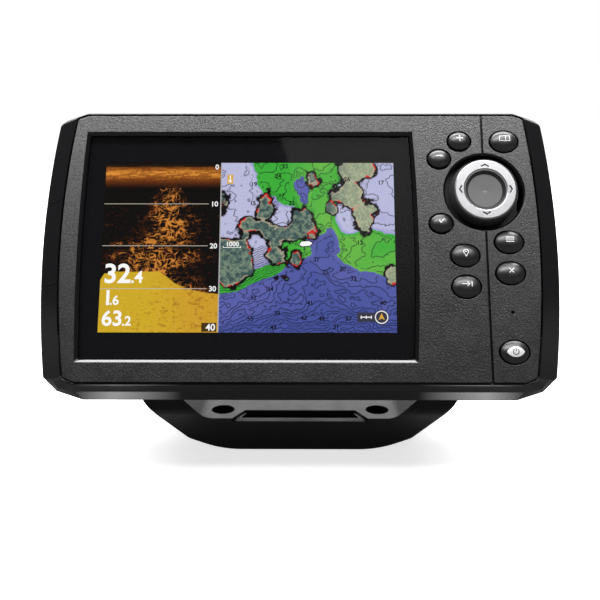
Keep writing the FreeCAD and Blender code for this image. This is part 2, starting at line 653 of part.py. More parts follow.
def case_screws():
    screws = []
    for x, z in SCREWS:
        head = tube_y(x, z, SCREW_HEAD_R, PART_Y + 3.5, PART_Y + 5.7)
        shank = tube_y(x, z, SCREW_R, FACE_WALL + 2.0, PART_Y + 4.0)
        drive = spin_y([(0, PART_Y + 4.5), (1.0, PART_Y + 4.5), (1.0, PART_Y + 6), (0, PART_Y + 6)], x, z)
        screws.append(fuse([head, shank]).cut(drive))
    return Part.makeCompound(screws)


def board_screws():
    screws = []
    for x, z in board_holes():
        head = tube_y(x, z, 2.4, BOARD_Y - 1.8, BOARD_Y)
        screws.append(fuse([head, tube_y(x, z, SCREW_R, BOARD_Y - 0.5, REAR_Y - 3.2)]))
    return Part.makeCompound(screws)


def vent_seat():
    return fuse([tube_y(44.0, -16.0, 4.0, DEEP_Y - 1.2, DEEP_Y + 2), tube_y(44.0, -16.0, 1.0, 50, 60)])


def vent_plug():
    """Breather plug that levels the pressure inside the case."""
    plug = tube_y(44.0, -16.0, 3.95, DEEP_Y - 1.2, DEEP_Y + 0.6)
    slits = [box(40.0, 48.0, DEEP_Y - 0.2, DEEP_Y + 1, z - 0.3, z + 0.3) for z in (-17.6, -16.0, -14.4)]
    return cut(plug, slits)


def pivot_inserts():
    """Threaded brass inserts moulded into the sides of the case."""
    inserts = []
    for sign in (-1, 1):
        inner, outer = sorted((sign * (DEEP_HALF - INSERT_LENGTH), sign * DEEP_HALF))
        insert = tube_x(PIVOT_BACK, 0, INSERT_R, inner, outer)
        groove = tube_x(PIVOT_BACK, 0, INSERT_R + 1, (inner + outer) / 2 - 1, (inner + outer) / 2 + 1)
        groove = groove.cut(tube_x(PIVOT_BACK, 0, INSERT_R - 0.7, inner, outer))
        inserts.append(cut(insert, [tube_x(PIVOT_BACK, 0, STUD_R + FIT, inner - 1, outer + 1), groove]))
    return Part.makeCompound(inserts)


def friction_pad(sign):
    """Rubber washer between the case and an arm."""
    inner, outer = sorted((sign * DEEP_HALF, sign * (ARM_IN - 0.02)))
    pad = tube_x(PIVOT_BACK, 0, 12.0, inner, outer)
    return pad.cut(tube_x(PIVOT_BACK, 0, STUD_R + 0.4, inner - 1, outer + 1))


# ---- sockets -----------------------------------------------------------------------
def socket(name):
    """Round panel socket: flange inside the case, collar standing out of the back."""
    x, r, _ = SOCKETS[name]
    barrel = tube_y(x, SOCKET_Z, r - 0.55, DEEP_Y - 6.0, DEEP_Y + COLLAR_LENGTH)
    flange = tube_y(x, SOCKET_Z, r + 1.5, DEEP_Y - 6.0, DEEP_Y - WALL)
    ring = tube_y(x, SOCKET_Z, r + 1.2, DEEP_Y + 0.9, DEEP_Y + 2.2)
    bore = tube_y(x, SOCKET_Z, r - 2.2, DEEP_Y - 1.0, DEEP_Y + COLLAR_LENGTH + 1)
    key_way = box(x - 0.9, x + 0.9, DEEP_Y + 2.5, DEEP_Y + COLLAR_LENGTH + 1, SOCKET_Z + r - 2.6,
                  SOCKET_Z + r - 1.5)
    pins = [tube_y(px, pz, 0.55, DEEP_Y - 8, DEEP_Y) for px, pz in pin_spots(name)]
    return cut(fuse([barrel, flange, ring]), [bore, key_way] + pins)


def pin_spots(name):
    x, r, count = SOCKETS[name]
    around = count - 1 if count > 4 else count
    reach = (r - 2.2) * 0.58
    turns = [2 * math.pi * k / around for k in range(around)]
    spots = [(x + reach * math.sin(turn), SOCKET_Z + reach * math.cos(turn)) for turn in turns]
    return spots + ([(x, SOCKET_Z)] if count > 4 else [])


def socket_pins(name):
    pins = []
    for px, pz in pin_spots(name):
        rod = tube_y(px, pz, 0.5, DEEP_Y - 8.0, DEEP_Y + 4.6)
        tip = Part.makeCone(0.5, 0.2, 0.4, vec(px, DEEP_Y + 4.6, pz), Y)
        pins.append(fuse([rod, tip]))
    return Part.makeCompound(pins)


def socket_seals():
    """Flat rings that seal the sockets against the outside of the case."""
    seals = []
    for x, r, _ in SOCKETS.values():
        ring = tube_y(x, SOCKET_Z, r + 1.0, DEEP_Y, DEEP_Y + 0.9)
        seals.append(ring.cut(tube_y(x, SOCKET_Z, r - 0.5, DEEP_Y - 1, DEEP_Y + 2)))
    return Part.makeCompound(seals)


# ---- mounting knobs, drawn in the world frame --------------------------------------
def thrust_washer(sign):
    inner, outer = sorted((sign * BOSS_OUT, sign * (BOSS_OUT + WASHER_T)))
    ring = tube_x(PIVOT_Y, PIVOT_Z, WASHER_R, inner, outer)
    return ring.cut(tube_x(PIVOT_Y, PIVOT_Z, STUD_R + FIT, inner - 1, outer + 1))


def knob_stud(sign):
    start, stop = DEEP_HALF - INSERT_LENGTH + 1.0, BOSS_OUT + WASHER_T + 9.0
    inner, outer = sorted((sign * start, sign * stop))
    stud = tube_x(PIVOT_Y, PIVOT_Z, STUD_R, inner, outer)
    tip = tube_x(PIVOT_Y, PIVOT_Z, STUD_R, *sorted((sign * start, sign * (start + 1.0))))
    point = Part.makeCone(STUD_R - 1.0, STUD_R, 1.0, vec(sign * start, PIVOT_Y, PIVOT_Z), X * sign)
    return fuse([stud.cut(tip), point])


def knob(sign):
    """Hand knob with finger lobes round its rim."""
    face = BOSS_OUT + WASHER_T + 0.05
    start = vec(sign * face, PIVOT_Y, PIVOT_Z)
    direction = X * sign
    body = Part.makeCylinder(KNOB_R, KNOB_DEPTH, start, direction)
    rims = [e for e in body.Edges if e.Curve.TypeId == "Part::GeomCircle"]
    rims = [e for e in rims if abs(abs(e.CenterOfMass.x) - face - KNOB_DEPTH) < EPS]
    body = soften(body, rims, 2.5)
    tools = []
    for k in range(LOBES):
        angle = 2 * math.pi * k / LOBES
        reach = KNOB_R + 3.2
        spot = start + vec(0, reach * math.cos(angle), reach * math.sin(angle)) + direction * 3.5
        tools.append(Part.makeCylinder(5.6, KNOB_DEPTH, spot, direction))
    tools.append(Part.makeCylinder(9.0, 3.0, start + direction * (KNOB_DEPTH - 1.4), direction))
    stud_end = BOSS_OUT + WASHER_T + 9.0
    inner, outer = sorted((sign * (face - 1), sign * stud_end))
    tools.append(tube_x(PIVOT_Y, PIVOT_Z, STUD_R, inner, outer))
    return cut(body, tools)


# ---- bracket -----------------------------------------------------------------------
def arm_top():
    return PIVOT_Z + ARM_HALF


def inner_path(grow):
    """Upper side of the plate and inner side of the arms, right half, from the arm's top."""
    rise = math.tan(math.radians(ARM_SLOPE))
    x = ARM_IN + grow
    bend = BEND_IN + grow * math.tan(math.radians(ARM_SLOPE / 2))
    plate = PLATE_TOP - grow
    return [((x, arm_top()), 0), ((x, plate + (x - bend) * rise), 14.0 + grow), ((bend, plate), 8.4 + grow)]


def outer_path():
    """Underside of the plate and outer side of the arms, right half, from the floor."""
    rise = math.tan(math.radians(ARM_SLOPE))
    kink = (KINK_X - BEND_OUT) * rise
    lift_off = KINK_X - kink / math.tan(math.radians(KINK_SLOPE))
    return [((lift_off, 0.0), 45.0), ((KINK_X, kink), 6.0), ((ARM_OUT, (ARM_OUT - BEND_OUT) * rise), 18.0),
            ((ARM_OUT, arm_top()), 0)]


def far_path():
    """A path well outside the bracket, so that a pocket opens downward and outward."""
    reach = 12.0
    return [((BEND_OUT, -reach), 0), ((ARM_OUT + reach, 10.0), 0), ((ARM_OUT + reach, arm_top()), 0)]


def band(outer, inner):
    """Front view of the bracket between an outer and an inner path, both mirrored."""
    y = -BASE_HALF_DEPTH - 1.0
    right = [(vec(px, y, pz), r) for (px, pz), r in outer + inner]
    left = [(vec(-px, y, pz), r) for (px, pz), r in reversed(outer + inner)]
    return prism(rounded_loop(right + left), vec(0, 2 * BASE_HALF_DEPTH + 2.0, 0))


def side_profile(inset):
    """Side view of the bracket: deep base, slim upright arms with round tops."""
    front, back = -BASE_HALF_DEPTH + inset, BASE_HALF_DEPTH - inset
    half, top = ARM_HALF - inset, PIVOT_Z + ARM_HALF - inset
    corners = [((front, -20.0), 0), ((front, 16.0), 8.0), ((PIVOT_Y - half, 34.0), 20.0),
               ((PIVOT_Y - half, top), half - 0.05), ((PIVOT_Y + half, top), half - 0.05),
               ((PIVOT_Y + half, 34.0), 20.0), ((back, 16.0), 8.0), ((back, -20.0), 0)]
    wire = rounded_loop([(vec(-90.0, py, pz), r) for (py, pz), r in corners])
    return prism(wire, vec(180.0, 0, 0))


def gimbal_bracket():
    body = band(outer_path(), inner_path(0.0)).common(side_profile(0.0))
    pocket = band(far_path(), inner_path(WEB)).common(side_profile(FLANGE))
    body = body.cut(pocket)
    adds = []
    for sx in (-1, 1):
        for sy in (-1, 1):
            adds.append(tube_z(sx * HOLE_X, sy * HOLE_Y, HEAD_R + WELL_WALL, 0, PLATE_TOP - 0.5))
        inner, outer = sorted((sx * (ARM_IN + 0.5), sx * BOSS_OUT))
        adds.append(tube_x(PIVOT_Y, PIVOT_Z, BOSS_R, inner, outer))
        adds.append(box(sx * 12.0 - 1.0, sx * 12.0 + 1.0, -BASE_HALF_DEPTH + 1, BASE_HALF_DEPTH - 1,
                        1.0, PLATE_TOP - 0.5))
    adds.append(box(-38.0, 38.0, 3.0, 5.0, 1.5, PLATE_TOP - 0.5))
    body = fuse([body] + adds)
    tools = [cable_slot(), slot_recess()]
    for sx in (-1, 1):
        for sy in (-1, 1):
            tools.append(tube_z(sx * HOLE_X, sy * HOLE_Y, HEAD_R, WELL_FLOOR, PLATE_TOP + 5))
            tools.append(tube_z(sx * HOLE_X, sy * HOLE_Y, HOLE_R, -1, WELL_FLOOR + 1))
    tools.append(tube_x(PIVOT_Y, PIVOT_Z, STUD_R + FIT, -80, 80))
    return cut(body, tools)


def cable_slot():
    """Tapered opening just behind the front edge of the plate."""
    front, back = -BASE_HALF_DEPTH + FLANGE, -BASE_HALF_DEPTH + NOTCH_DEPTH
    return prism(tapered_loop(front, NOTCH_FRONT, back, NOTCH_REAR, 5.0), vec(0, 0, PLATE_TOP))


def tapered_loop(front, front_half, back, back_half, z):
    corners = [(-front_half, front), (front_half, front), (back_half, back), (-back_half, back)]
    return Part.makePolygon([vec(px, py, z) for px, py in corners + corners[:1]])


def slot_recess():
    """Shallow tapered recess round the slot, sloping down at the plate's front edge."""
    front, back = -BASE_HALF_DEPTH - 1.0, -BASE_HALF_DEPTH + NOTCH_DEPTH + RECESS_MARGIN
    taper = (NOTCH_FRONT - NOTCH_REAR) / (NOTCH_DEPTH - FLANGE)
    back_half = NOTCH_REAR + RECESS_MARGIN
    front_half = back_half + RECESS_FLARE * taper * (back - front)
    floor = PLATE_TOP - RECESS_DROP
    recess = prism(tapered_loop(front, front_half, back, back_half, floor), vec(0, 0, 5.0))
    ledge = front + FLANGE + 1.0
    corners = [(front, PLATE_TOP - LIP_DROP), (ledge, floor), (ledge, floor + 0.5), (front, floor + 0.5)]
    slope = Part.makePolygon([vec(-40.0, py, pz) for py, pz in corners + corners[:1]])
    lip = prism(slope, vec(80.0, 0, 0))
    column = prism(tapered_loop(front, front_half, back, back_half, 0.0), vec(0, 0, 40.0))
    return recess.fuse(lip.common(column))


# ---- writing the parts -------------------------------------------------------------
def head_parts():
    shell = front_shell()
    core = front_shell(-TRIM_INSET)
    parts = {
        "front_bezel": front_bezel(shell, core),
        "card_door": card_door(shell, core),
        "card_door_pin": door_pin(),
        "glass_tape": glass_tape(),
        "screen_glass": screen_glass(),
        "lcd_panel": lcd_panel(),
        "lcd_backlight": lcd_backlight(),
        "lcd_flex": lcd_flex(),
        "cursor_pad": cursor_pad(),
        "cursor_ring": cursor_ring(),
        "cursor_gimbal": cursor_gimbal(),
        "cursor_post": cursor_post(),
        "keypad_mat": keypad_mat(),
        "key_board": key_board(),
        "snap_domes": snap_domes(),
        "key_flex": key_flex(),
        "main_board": main_board(),
        "processor_shield": processor_shield(),
        "heat_spreader": heat_spreader(),
        "gps_antenna": gps_antenna(),
        "coin_cell": coin_cell(),
        "sounder": sounder(),
        "sounder_membrane": sounder_membrane(),
        "card_socket": card_socket(),
        "card_board": card_board(),
        "rear_case": rear_case(),
        "case_seal": case_seal(),
        "case_screws": case_screws(),
        "board_screws": board_screws(),
        "vent_plug": vent_plug(),
        "pivot_inserts": pivot_inserts(),
        "friction_pad_left": friction_pad(-1),
        "friction_pad_right": friction_pad(1),
        "socket_seals": socket_seals(),
    }
    parts.update(side_trims(shell, core))
    for name, (x, z, size) in KEYS.items():
        parts[name] = key_cap(x, z, size)
    parts["key_power"] = parts["key_power"].cut(power_inlay_seat(0.01))
    parts["power_inlay"] = power_inlay()
    for name in SOCKETS:
        parts[name + "_socket"] = socket(name)
        parts[name + "_pins"] = socket_pins(name)
    return parts


def bracket_parts():
    parts = {"gimbal_bracket": gimbal_bracket()}
    for side, sign in (("left", -1), ("right", 1)):
        parts["thrust_washer_" + side] = thrust_washer(sign)
        parts["knob_stud_" + side] = knob_stud(sign)
        parts["knob_" + side] = knob(sign)
    return parts


def main():
    os.makedirs("parts", exist_ok=True)
    shapes = {name: to_world(shape) for name, shape in head_parts().items()}
    shapes.update(bracket_parts())
    for name, shape in shapes.items():
        shape.exportStep("parts/" + name + ".step")
        print(name, len(shape.Solids), "solid(s)", round(shape.Volume, 1), "mm3",
              "valid" if shape.isValid() else "NOT VALID")


main()
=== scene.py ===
import json
import math

import bpy
import numpy as np
from mathutils import Matrix, Vector
from mathutils.bvhtree import BVHTree


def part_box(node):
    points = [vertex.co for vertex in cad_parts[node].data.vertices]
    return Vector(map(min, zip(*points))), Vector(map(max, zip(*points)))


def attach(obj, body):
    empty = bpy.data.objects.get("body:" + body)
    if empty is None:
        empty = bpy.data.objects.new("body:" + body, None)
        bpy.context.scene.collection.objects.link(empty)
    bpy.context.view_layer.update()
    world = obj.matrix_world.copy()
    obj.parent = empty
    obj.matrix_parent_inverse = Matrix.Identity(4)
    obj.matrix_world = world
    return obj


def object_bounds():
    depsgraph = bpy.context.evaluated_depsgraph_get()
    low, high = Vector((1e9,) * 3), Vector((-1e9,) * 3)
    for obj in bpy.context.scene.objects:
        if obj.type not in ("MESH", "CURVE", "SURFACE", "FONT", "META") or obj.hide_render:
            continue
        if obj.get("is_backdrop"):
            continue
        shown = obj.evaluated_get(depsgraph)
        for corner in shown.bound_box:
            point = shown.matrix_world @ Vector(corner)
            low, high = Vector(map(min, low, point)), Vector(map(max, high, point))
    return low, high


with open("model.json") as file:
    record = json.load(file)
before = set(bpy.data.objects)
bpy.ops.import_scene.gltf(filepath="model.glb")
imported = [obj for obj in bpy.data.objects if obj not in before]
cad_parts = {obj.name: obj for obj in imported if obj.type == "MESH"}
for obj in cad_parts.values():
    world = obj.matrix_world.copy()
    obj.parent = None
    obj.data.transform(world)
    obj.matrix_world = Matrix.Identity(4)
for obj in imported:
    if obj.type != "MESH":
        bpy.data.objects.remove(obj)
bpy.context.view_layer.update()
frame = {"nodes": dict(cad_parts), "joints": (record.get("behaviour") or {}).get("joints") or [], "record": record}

# Looks of a chartplotter display on its gimbal bracket. Lengths are metres. The display
# head is drawn in its own frame: x right, y back from the front face, z up, origin on
# the face at the screen's mid height.

MM = 0.001

# ---- screen layout ----
ACTIVE_W, ACTIVE_H = 108.0 * MM, 64.8 * MM
SONAR_SHARE = 0.402            # share of the picture's width that the sonar takes
CELL = 0.225 * MM              # cell of the picture meshes
PICTURE_GAP = 0.15 * MM        # from the glass to the pictures behind it
LAYER = 0.03 * MM              # step between drawings stacked in front of a picture
WINDOW_BOW = 700.0 * MM        # radius of the window's bowed sides
PICTURE_RISE = 1.1             # millimetres from the panel's middle up to the picture's middle
DIGIT_SHARE = 0.7              # height of a digit as a share of the font's size
PRINT_LIFT, PRINT_THICK = 0.02 * MM, 0.04 * MM     # prints on the keys

# ---- camera ----
CAMERA_AT = (1.53 * MM, -325.73 * MM, 141.13 * MM)
CAMERA_AZIMUTH, CAMERA_PITCH = math.radians(0.29), math.radians(14.5)
CAMERA_LENS, CAMERA_SENSOR = 48.0, 36.0


# ---- the head's frame ----
NODES = frame["nodes"]
JOINTS = {joint["name"]: joint for joint in frame["joints"]}
ACROSS = Vector((1.0, 0.0, 0.0))
INWARD = Vector(JOINTS["key_mark_press"]["axis"]).normalized()
UPWARD = Vector(JOINTS["cursor_roll"]["axis"]).normalized()


def vertices(node):
    """A node's vertices as an array of points."""
    mesh = NODES[node].data
    points = np.zeros(len(mesh.vertices) * 3)
    mesh.vertices.foreach_get("co", points)
    return points.reshape(-1, 3)


def head_matrix():
    """Matrix from the head's frame to the world."""
    face = (vertices("front_bezel") @ np.array(INWARD)).min()
    low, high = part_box("lcd_panel")
    middle = ((low + high) / 2).dot(UPWARD)
    origin = INWARD * face + UPWARD * middle
    columns = Matrix((ACROSS, INWARD, UPWARD)).transposed().to_4x4()
    return Matrix.Translation(origin) @ columns


HEAD = head_matrix()
TO_HEAD = HEAD.inverted()


def head_box(node):
    """Lowest and highest corner of a node in the head's frame."""
    points = vertices(node) @ np.array(TO_HEAD.to_3x3()).T + np.array(TO_HEAD.translation)
    return Vector(points.min(0)), Vector(points.max(0))


def head_centre(node):
    low, high = head_box(node)
    return (low + high) / 2


# ---- material building ----
def linear(red, green, blue):
    """Linear colour from 0 to 255 display values."""
    def channel(value):
        value /= 255.0
        return value / 12.92 if value <= 0.04045 else ((value + 0.055) / 1.055) ** 2.4
    return tuple(channel(value) for value in (red, green, blue))


def colour_sockets(sockets):
    """The sockets of a mix node that carry colours."""
    return [socket for socket in sockets if socket.type == "RGBA"]


def tinted(colour, factor):
    return tuple(min(1.0, value * factor) for value in colour)


class Recipe:
    """Node tree of one material, with its principled shader at hand."""

    def __init__(self, name, colour, rough, metal=0.0, specular=0.5):
        self.material = bpy.data.materials.new(name)
        self.material.use_nodes = True
        self.tree = self.material.node_tree
        self.shader = next(n for n in self.tree.nodes if n.type == "BSDF_PRINCIPLED")
        self.output = next(n for n in self.tree.nodes if n.type == "OUTPUT_MATERIAL")
        self.place = self.add("TexCoord").outputs["Object"]
        self.set("Base Color", (*colour, 1.0))
        self.set("Roughness", rough)
        self.set("Metallic", metal)
        self.set("Specular IOR Level", specular)
        self.material.diffuse_color = (*colour, 1.0)
        self.colour = colour

    def add(self, kind, **values):
        """A new shader node of a kind, with its settings."""
        node = self.tree.nodes.new("ShaderNode" + kind)
        for name, value in values.items():
            setattr(node, name, value)
        return node

    def join(self, source, target):
        self.tree.links.new(source, target)

    def set(self, name, value):
        self.shader.inputs[name].default_value = value

    def feed(self, name, source):
        self.join(source, self.shader.inputs[name])

    def noise(self, size, detail=3.0, rough=0.55, stretch=(1.0, 1.0, 1.0)):
        """Cloudy noise whose blobs are about size metres wide."""
        place = self.add("Mapping")
        place.inputs["Scale"].default_value = stretch
        self.join(self.place, place.inputs["Vector"])
        node = self.add("TexNoise")
        node.inputs["Scale"].default_value = 1.0 / size
        node.inputs["Detail"].default_value = detail
        node.inputs["Roughness"].default_value = rough
        self.join(place.outputs["Vector"], node.inputs["Vector"])
        return node.outputs["Fac"]

    def cells(self, size):
        """Pebbled cells about size metres wide."""
        node = self.add("TexVoronoi", feature="SMOOTH_F1")
        node.inputs["Scale"].default_value = 1.0 / size
        self.join(self.place, node.inputs["Vector"])
        return node.outputs["Distance"]

    def spread(self, source, low, high, start=0.3, stop=0.7):
        """Value that runs from low to high as source runs from start to stop."""
        node = self.add("MapRange")
        ends = {"From Min": start, "From Max": stop, "To Min": low, "To Max": high}
        for name, value in ends.items():
            node.inputs[name].default_value = value
        self.join(source, node.inputs["Value"])
        return node.outputs["Result"]

    def blend_colour(self, factor, first, second):
        """Colour that runs from first to second as factor runs from 0 to 1."""
        node = self.add("Mix", data_type="RGBA")
        for socket, value in zip(colour_sockets(node.inputs), (first, second)):
            socket.default_value = (*value, 1.0)
        self.join(factor, node.inputs["Factor"])
        return colour_sockets(node.outputs)[0]

    def rounded(self, radius):
        """Normals that turn smoothly over an edge, as on a moulded edge."""
        node = self.add("Bevel", samples=6)
        node.inputs["Radius"].default_value = radius
        return node.outputs["Normal"]

    def bump(self, height, depth, strength=1.0, normal=None):
        node = self.add("Bump")
        node.inputs["Distance"].default_value = depth
        node.inputs["Strength"].default_value = strength
        self.join(height, node.inputs["Height"])
        if normal is not None:
            self.join(normal, node.inputs["Normal"])
        return node.outputs["Normal"]

    def edge_wear(self, soft_normal, amount):
        """Share of wear: full on sharp edges, broken up by fine noise, none on flat stretches."""
        compare = self.add("VectorMath", operation="DOT_PRODUCT")
        self.join(soft_normal, compare.inputs[0])
        self.join(self.add("NewGeometry").outputs["Normal"], compare.inputs[1])
        edge = self.spread(compare.outputs["Value"], amount, 0.0, start=0.86, stop=0.995)
        patches = self.noise(1.5 * MM, detail=4.0, rough=0.65)
        return self.product(edge, self.spread(patches, 0.15, 1.0, start=0.4, stop=0.65))

    def product(self, first, second):
        node = self.add("Math", operation="MULTIPLY")
        self.join(first, node.inputs[0])
        self.join(second, node.inputs[1])
        return node.outputs["Value"]

    def tinted_noise(self, cloud, wear, dark, light, worn):
        """The base colour clouded between a dark and a light tint, and paler where worn."""
        clouded = self.blend_colour(cloud, tinted(self.colour, dark), tinted(self.colour, light))
        node = self.add("Mix", data_type="RGBA")
        first, second = colour_sockets(node.inputs)
        self.join(clouded, first)
        second.default_value = (*tinted(self.colour, worn), 1.0)
        self.join(wear, node.inputs["Factor"])
        self.feed("Base Color", colour_sockets(node.outputs)[0])


def moulded(name, colour, rough, grain=0.7 * MM, depth=0.03 * MM, edge=0.25 * MM, specular=0.5,
            glint=0.0):
    """Injection moulded plastic with a spark-eroded grain and rounded edges.

    glint is how far the shine varies from grain to grain."""
    recipe = Recipe(name, colour, rough, specular=specular)
    cloud = recipe.noise(40 * grain, 3.0)
    wear = recipe.noise(9.0 * MM, 4.0, 0.65)
    soft = recipe.rounded(edge)
    recipe.tinted_noise(cloud, recipe.edge_wear(soft, 0.5), 0.86, 1.16, 1.9)
    recipe.feed("Roughness", recipe.spread(wear, rough - 0.06, rough + 0.06))
    shine = recipe.noise(grain * 0.9, 2.0, 0.5)
    dull, bright = specular * (1 - glint), specular * (1 + glint)
    recipe.feed("Specular IOR Level", recipe.spread(shine, dull, bright, start=0.4, stop=0.6))
    pebble = recipe.bump(recipe.cells(grain), depth, 0.8, soft)
    recipe.feed("Normal", recipe.bump(recipe.noise(grain * 0.8, 4.0, 0.6), depth, 0.7, pebble))
    return recipe.material


def glossy(name, colour, rough, edge=0.3 * MM, specular=0.5):
    """Polished plastic with very faint flow marks and fine handling marks."""
    recipe = Recipe(name, colour, rough, specular=specular)
    haze = recipe.noise(14.0 * MM, 3.0, 0.6)
    marks = recipe.noise(0.5 * MM, 2.0, 0.5, (1.0, 0.2, 3.0))
    soft = recipe.rounded(edge)
    recipe.tinted_noise(haze, recipe.edge_wear(soft, 0.4), 0.9, 1.12, 1.6)
    recipe.feed("Roughness", recipe.spread(haze, rough * 0.8, rough * 1.3))
    recipe.feed("Normal", recipe.bump(marks, 0.0016 * MM, 0.5, soft))
    return recipe.material


def rubber(name, colour, rough, specular=0.4, sheen=0.08):
    """Silicone rubber: satin, with a skin of very fine pores and a little dust."""
    recipe = Recipe(name, colour, rough, specular=specular)
    dust = recipe.noise(3.0 * MM, 5.0, 0.7)
    pores = recipe.noise(0.16 * MM, 3.0, 0.6)
    soft = recipe.rounded(0.2 * MM)
    recipe.tinted_noise(dust, recipe.edge_wear(soft, 0.5), 0.9, 1.15, 1.5)
    recipe.feed("Roughness", recipe.spread(dust, rough - 0.05, rough + 0.07))
    recipe.feed("Normal", recipe.bump(pores, 0.006 * MM, 0.6, soft))
    recipe.set("Sheen Weight", sheen)
    return recipe.material


def metal(name, colour, rough, stretch=(1.0, 1.0, 1.0), grain=0.12 * MM, metallic=1.0):
    """Metal with fine tool or rolling marks, smudges and rounded edges."""
    recipe = Recipe(name, colour, rough, metal=metallic)
    smudge = recipe.noise(5.0 * MM, 4.0, 0.6)
    marks = recipe.noise(grain, 3.0, 0.6, stretch)
    soft = recipe.rounded(0.12 * MM)
    recipe.tinted_noise(smudge, recipe.edge_wear(soft, 0.6), 0.93, 1.04, 1.12)
    recipe.feed("Roughness", recipe.spread(smudge, rough * 0.85, rough * 1.2))
    recipe.feed("Normal", recipe.bump(marks, 0.002 * MM, 0.6, soft))
    return recipe.material


def circuit(name, colour, trace):
    """Solder mask over copper: faint lighter tracks and a dotted field of vias."""
    recipe = Recipe(name, colour, 0.35)
    brick = recipe.add("TexBrick", offset=0.35, squash=1.6)
    recipe.join(recipe.place, brick.inputs["Vector"])
    for socket, value in (("Scale", 160.0), ("Mortar Size", 0.035), ("Mortar Smooth", 0.2)):
        brick.inputs[socket].default_value = value
    recipe.feed("Base Color", recipe.blend_colour(brick.outputs["Fac"], colour, trace))
    recipe.feed("Roughness", recipe.spread(recipe.noise(4.0 * MM), 0.28, 0.42))
    recipe.feed("Normal", recipe.bump(brick.outputs["Fac"], 0.02 * MM, 0.5))
    return recipe.material


def clear_glass():
    """Cover glass: clear, and mirror-like at a slant, with a trace of smudging."""
    recipe = Recipe("clear_glass", (0.02, 0.02, 0.022), 0.03)
    see_through = recipe.add("BsdfTransparent")
    mirror = recipe.add("BsdfGlossy")
    fresnel = recipe.add("Fresnel")
    fresnel.inputs["IOR"].default_value = 1.5
    mix = recipe.add("MixShader")
    recipe.join(recipe.spread(recipe.noise(12.0 * MM), 0.02, 0.06), mirror.inputs["Roughness"])
    leaving = recipe.add("NewGeometry").outputs["Backfacing"]
    outside = recipe.spread(leaving, 1.0, 0.0, 0.0, 1.0)
    recipe.join(recipe.product(fresnel.outputs["Fac"], outside), mix.inputs["Fac"])
    recipe.join(see_through.outputs["BSDF"], mix.inputs[1])
    recipe.join(mirror.outputs["BSDF"], mix.inputs[2])
    recipe.join(mix.outputs["Shader"], recipe.output.inputs["Surface"])
    return recipe.material


def lit_paint(name, colour):
    """A drawing on the lit display: it glows in one colour with the panel's faint mottle."""
    recipe = Recipe(name, (0.0, 0.0, 0.0), 0.5, specular=0.0)
    mottle = recipe.noise(0.5 * MM, 2.0)
    recipe.feed("Emission Color", recipe.blend_colour(mottle, tinted(colour, 0.96), colour))
    recipe.set("Emission Strength", 1.0)
    return recipe.material


def lit_picture(name):
    """The lit display, its colours held in the mesh's colour attribute."""
    recipe = Recipe(name, (0.0, 0.0, 0.0), 0.4, specular=0.0)
    colours = recipe.add("Attribute", attribute_name="picture")
    both = recipe.add("Mix", data_type="RGBA", blend_type="MULTIPLY")
    both.inputs["Factor"].default_value = 1.0
    drawn, mottle = colour_sockets(both.inputs)
    recipe.join(colours.outputs["Color"], drawn)
    recipe.join(recipe.spread(recipe.noise(0.45 * MM, 2.0), 0.93, 1.05), mottle)
    recipe.feed("Emission Color", colour_sockets(both.outputs)[0])
    recipe.set("Emission Strength", 1.0)
    return recipe.material


SLOT_LOOKS = {
    "bezel_plastic": moulded("grained_bezel", (0.009, 0.009, 0.0095), 0.33, 0.5 * MM, 0.085 * MM,
                             specular=0.72, glint=0.3),
    "trim_plastic": glossy("polished_trim", (0.005, 0.005, 0.006), 0.14, specular=0.14),
    "case_plastic": moulded("grained_case", (0.03, 0.03, 0.031), 0.5, 0.9 * MM),
    "bracket_plastic": moulded("bracket_satin", (0.018, 0.018, 0.019), 0.34, 1.1 * MM, 0.008 * MM,
                               0.5 * MM, specular=0.42),
    "knob_plastic": moulded("knob_satin", (0.024, 0.024, 0.025), 0.42, 0.8 * MM, 0.02 * MM, 0.4 * MM),
    "key_rubber": rubber("key_rubber", (0.006, 0.006, 0.0065), 0.33, specular=0.8, sheen=0.0),
    "pad_rubber": rubber("pad_rubber", (0.02, 0.02, 0.021), 0.4),
    "ring_metal": metal("satin_ring", (0.41, 0.41, 0.42), 0.4, grain=0.08 * MM),
    "inlay_metal": metal("satin_inlay", (0.8, 0.8, 0.81), 0.4, metallic=0.4),
    "cover_glass": clear_glass(),
    "display_cell": glossy("display_cell", (0.01, 0.01, 0.014), 0.2),
    "tape": rubber("foam_tape", (0.01, 0.01, 0.01), 0.8),
    "tray_metal": metal("pressed_tray", (0.7, 0.7, 0.71), 0.35, (1.0, 6.0, 0.2)),
    "ribbon": glossy("ribbon_film", (0.32, 0.15, 0.04), 0.3),
    "board": circuit("solder_mask", (0.012, 0.09, 0.03), (0.05, 0.2, 0.07)),
    "tin_plate": metal("tin_plate", (0.72, 0.72, 0.7), 0.32, (1.0, 4.0, 0.25)),
    "spreader_metal": metal("extruded_spreader", (0.75, 0.75, 0.76), 0.4, (5.0, 1.0, 0.15)),
    "patch_ceramic": moulded("patch_ceramic", (0.6, 0.55, 0.44), 0.55, 0.4 * MM, 0.01 * MM),
    "sounder_plastic": moulded("sounder_plastic", (0.02, 0.02, 0.02), 0.45, 0.5 * MM, 0.015 * MM),
    "membrane_film": rubber("felted_film", (0.7, 0.7, 0.69), 0.85),
    "acetal": glossy("acetal", (0.62, 0.62, 0.59), 0.35),
    "silicone": rubber("mat_silicone", (0.02, 0.02, 0.02), 0.6),
    "seal_rubber": rubber("seal_rubber", (0.014, 0.014, 0.014), 0.62),
    "screw_steel": metal("screw_steel", (0.6, 0.6, 0.58), 0.28),
    "insert_brass": metal("turned_brass", (0.72, 0.52, 0.22), 0.25, (0.2, 6.0, 6.0)),
    "pin_gold": metal("plated_pins", (0.85, 0.64, 0.28), 0.22),
    "socket_plastic": moulded("socket_plastic", (0.02, 0.02, 0.02), 0.4, 0.6 * MM, 0.012 * MM),
}
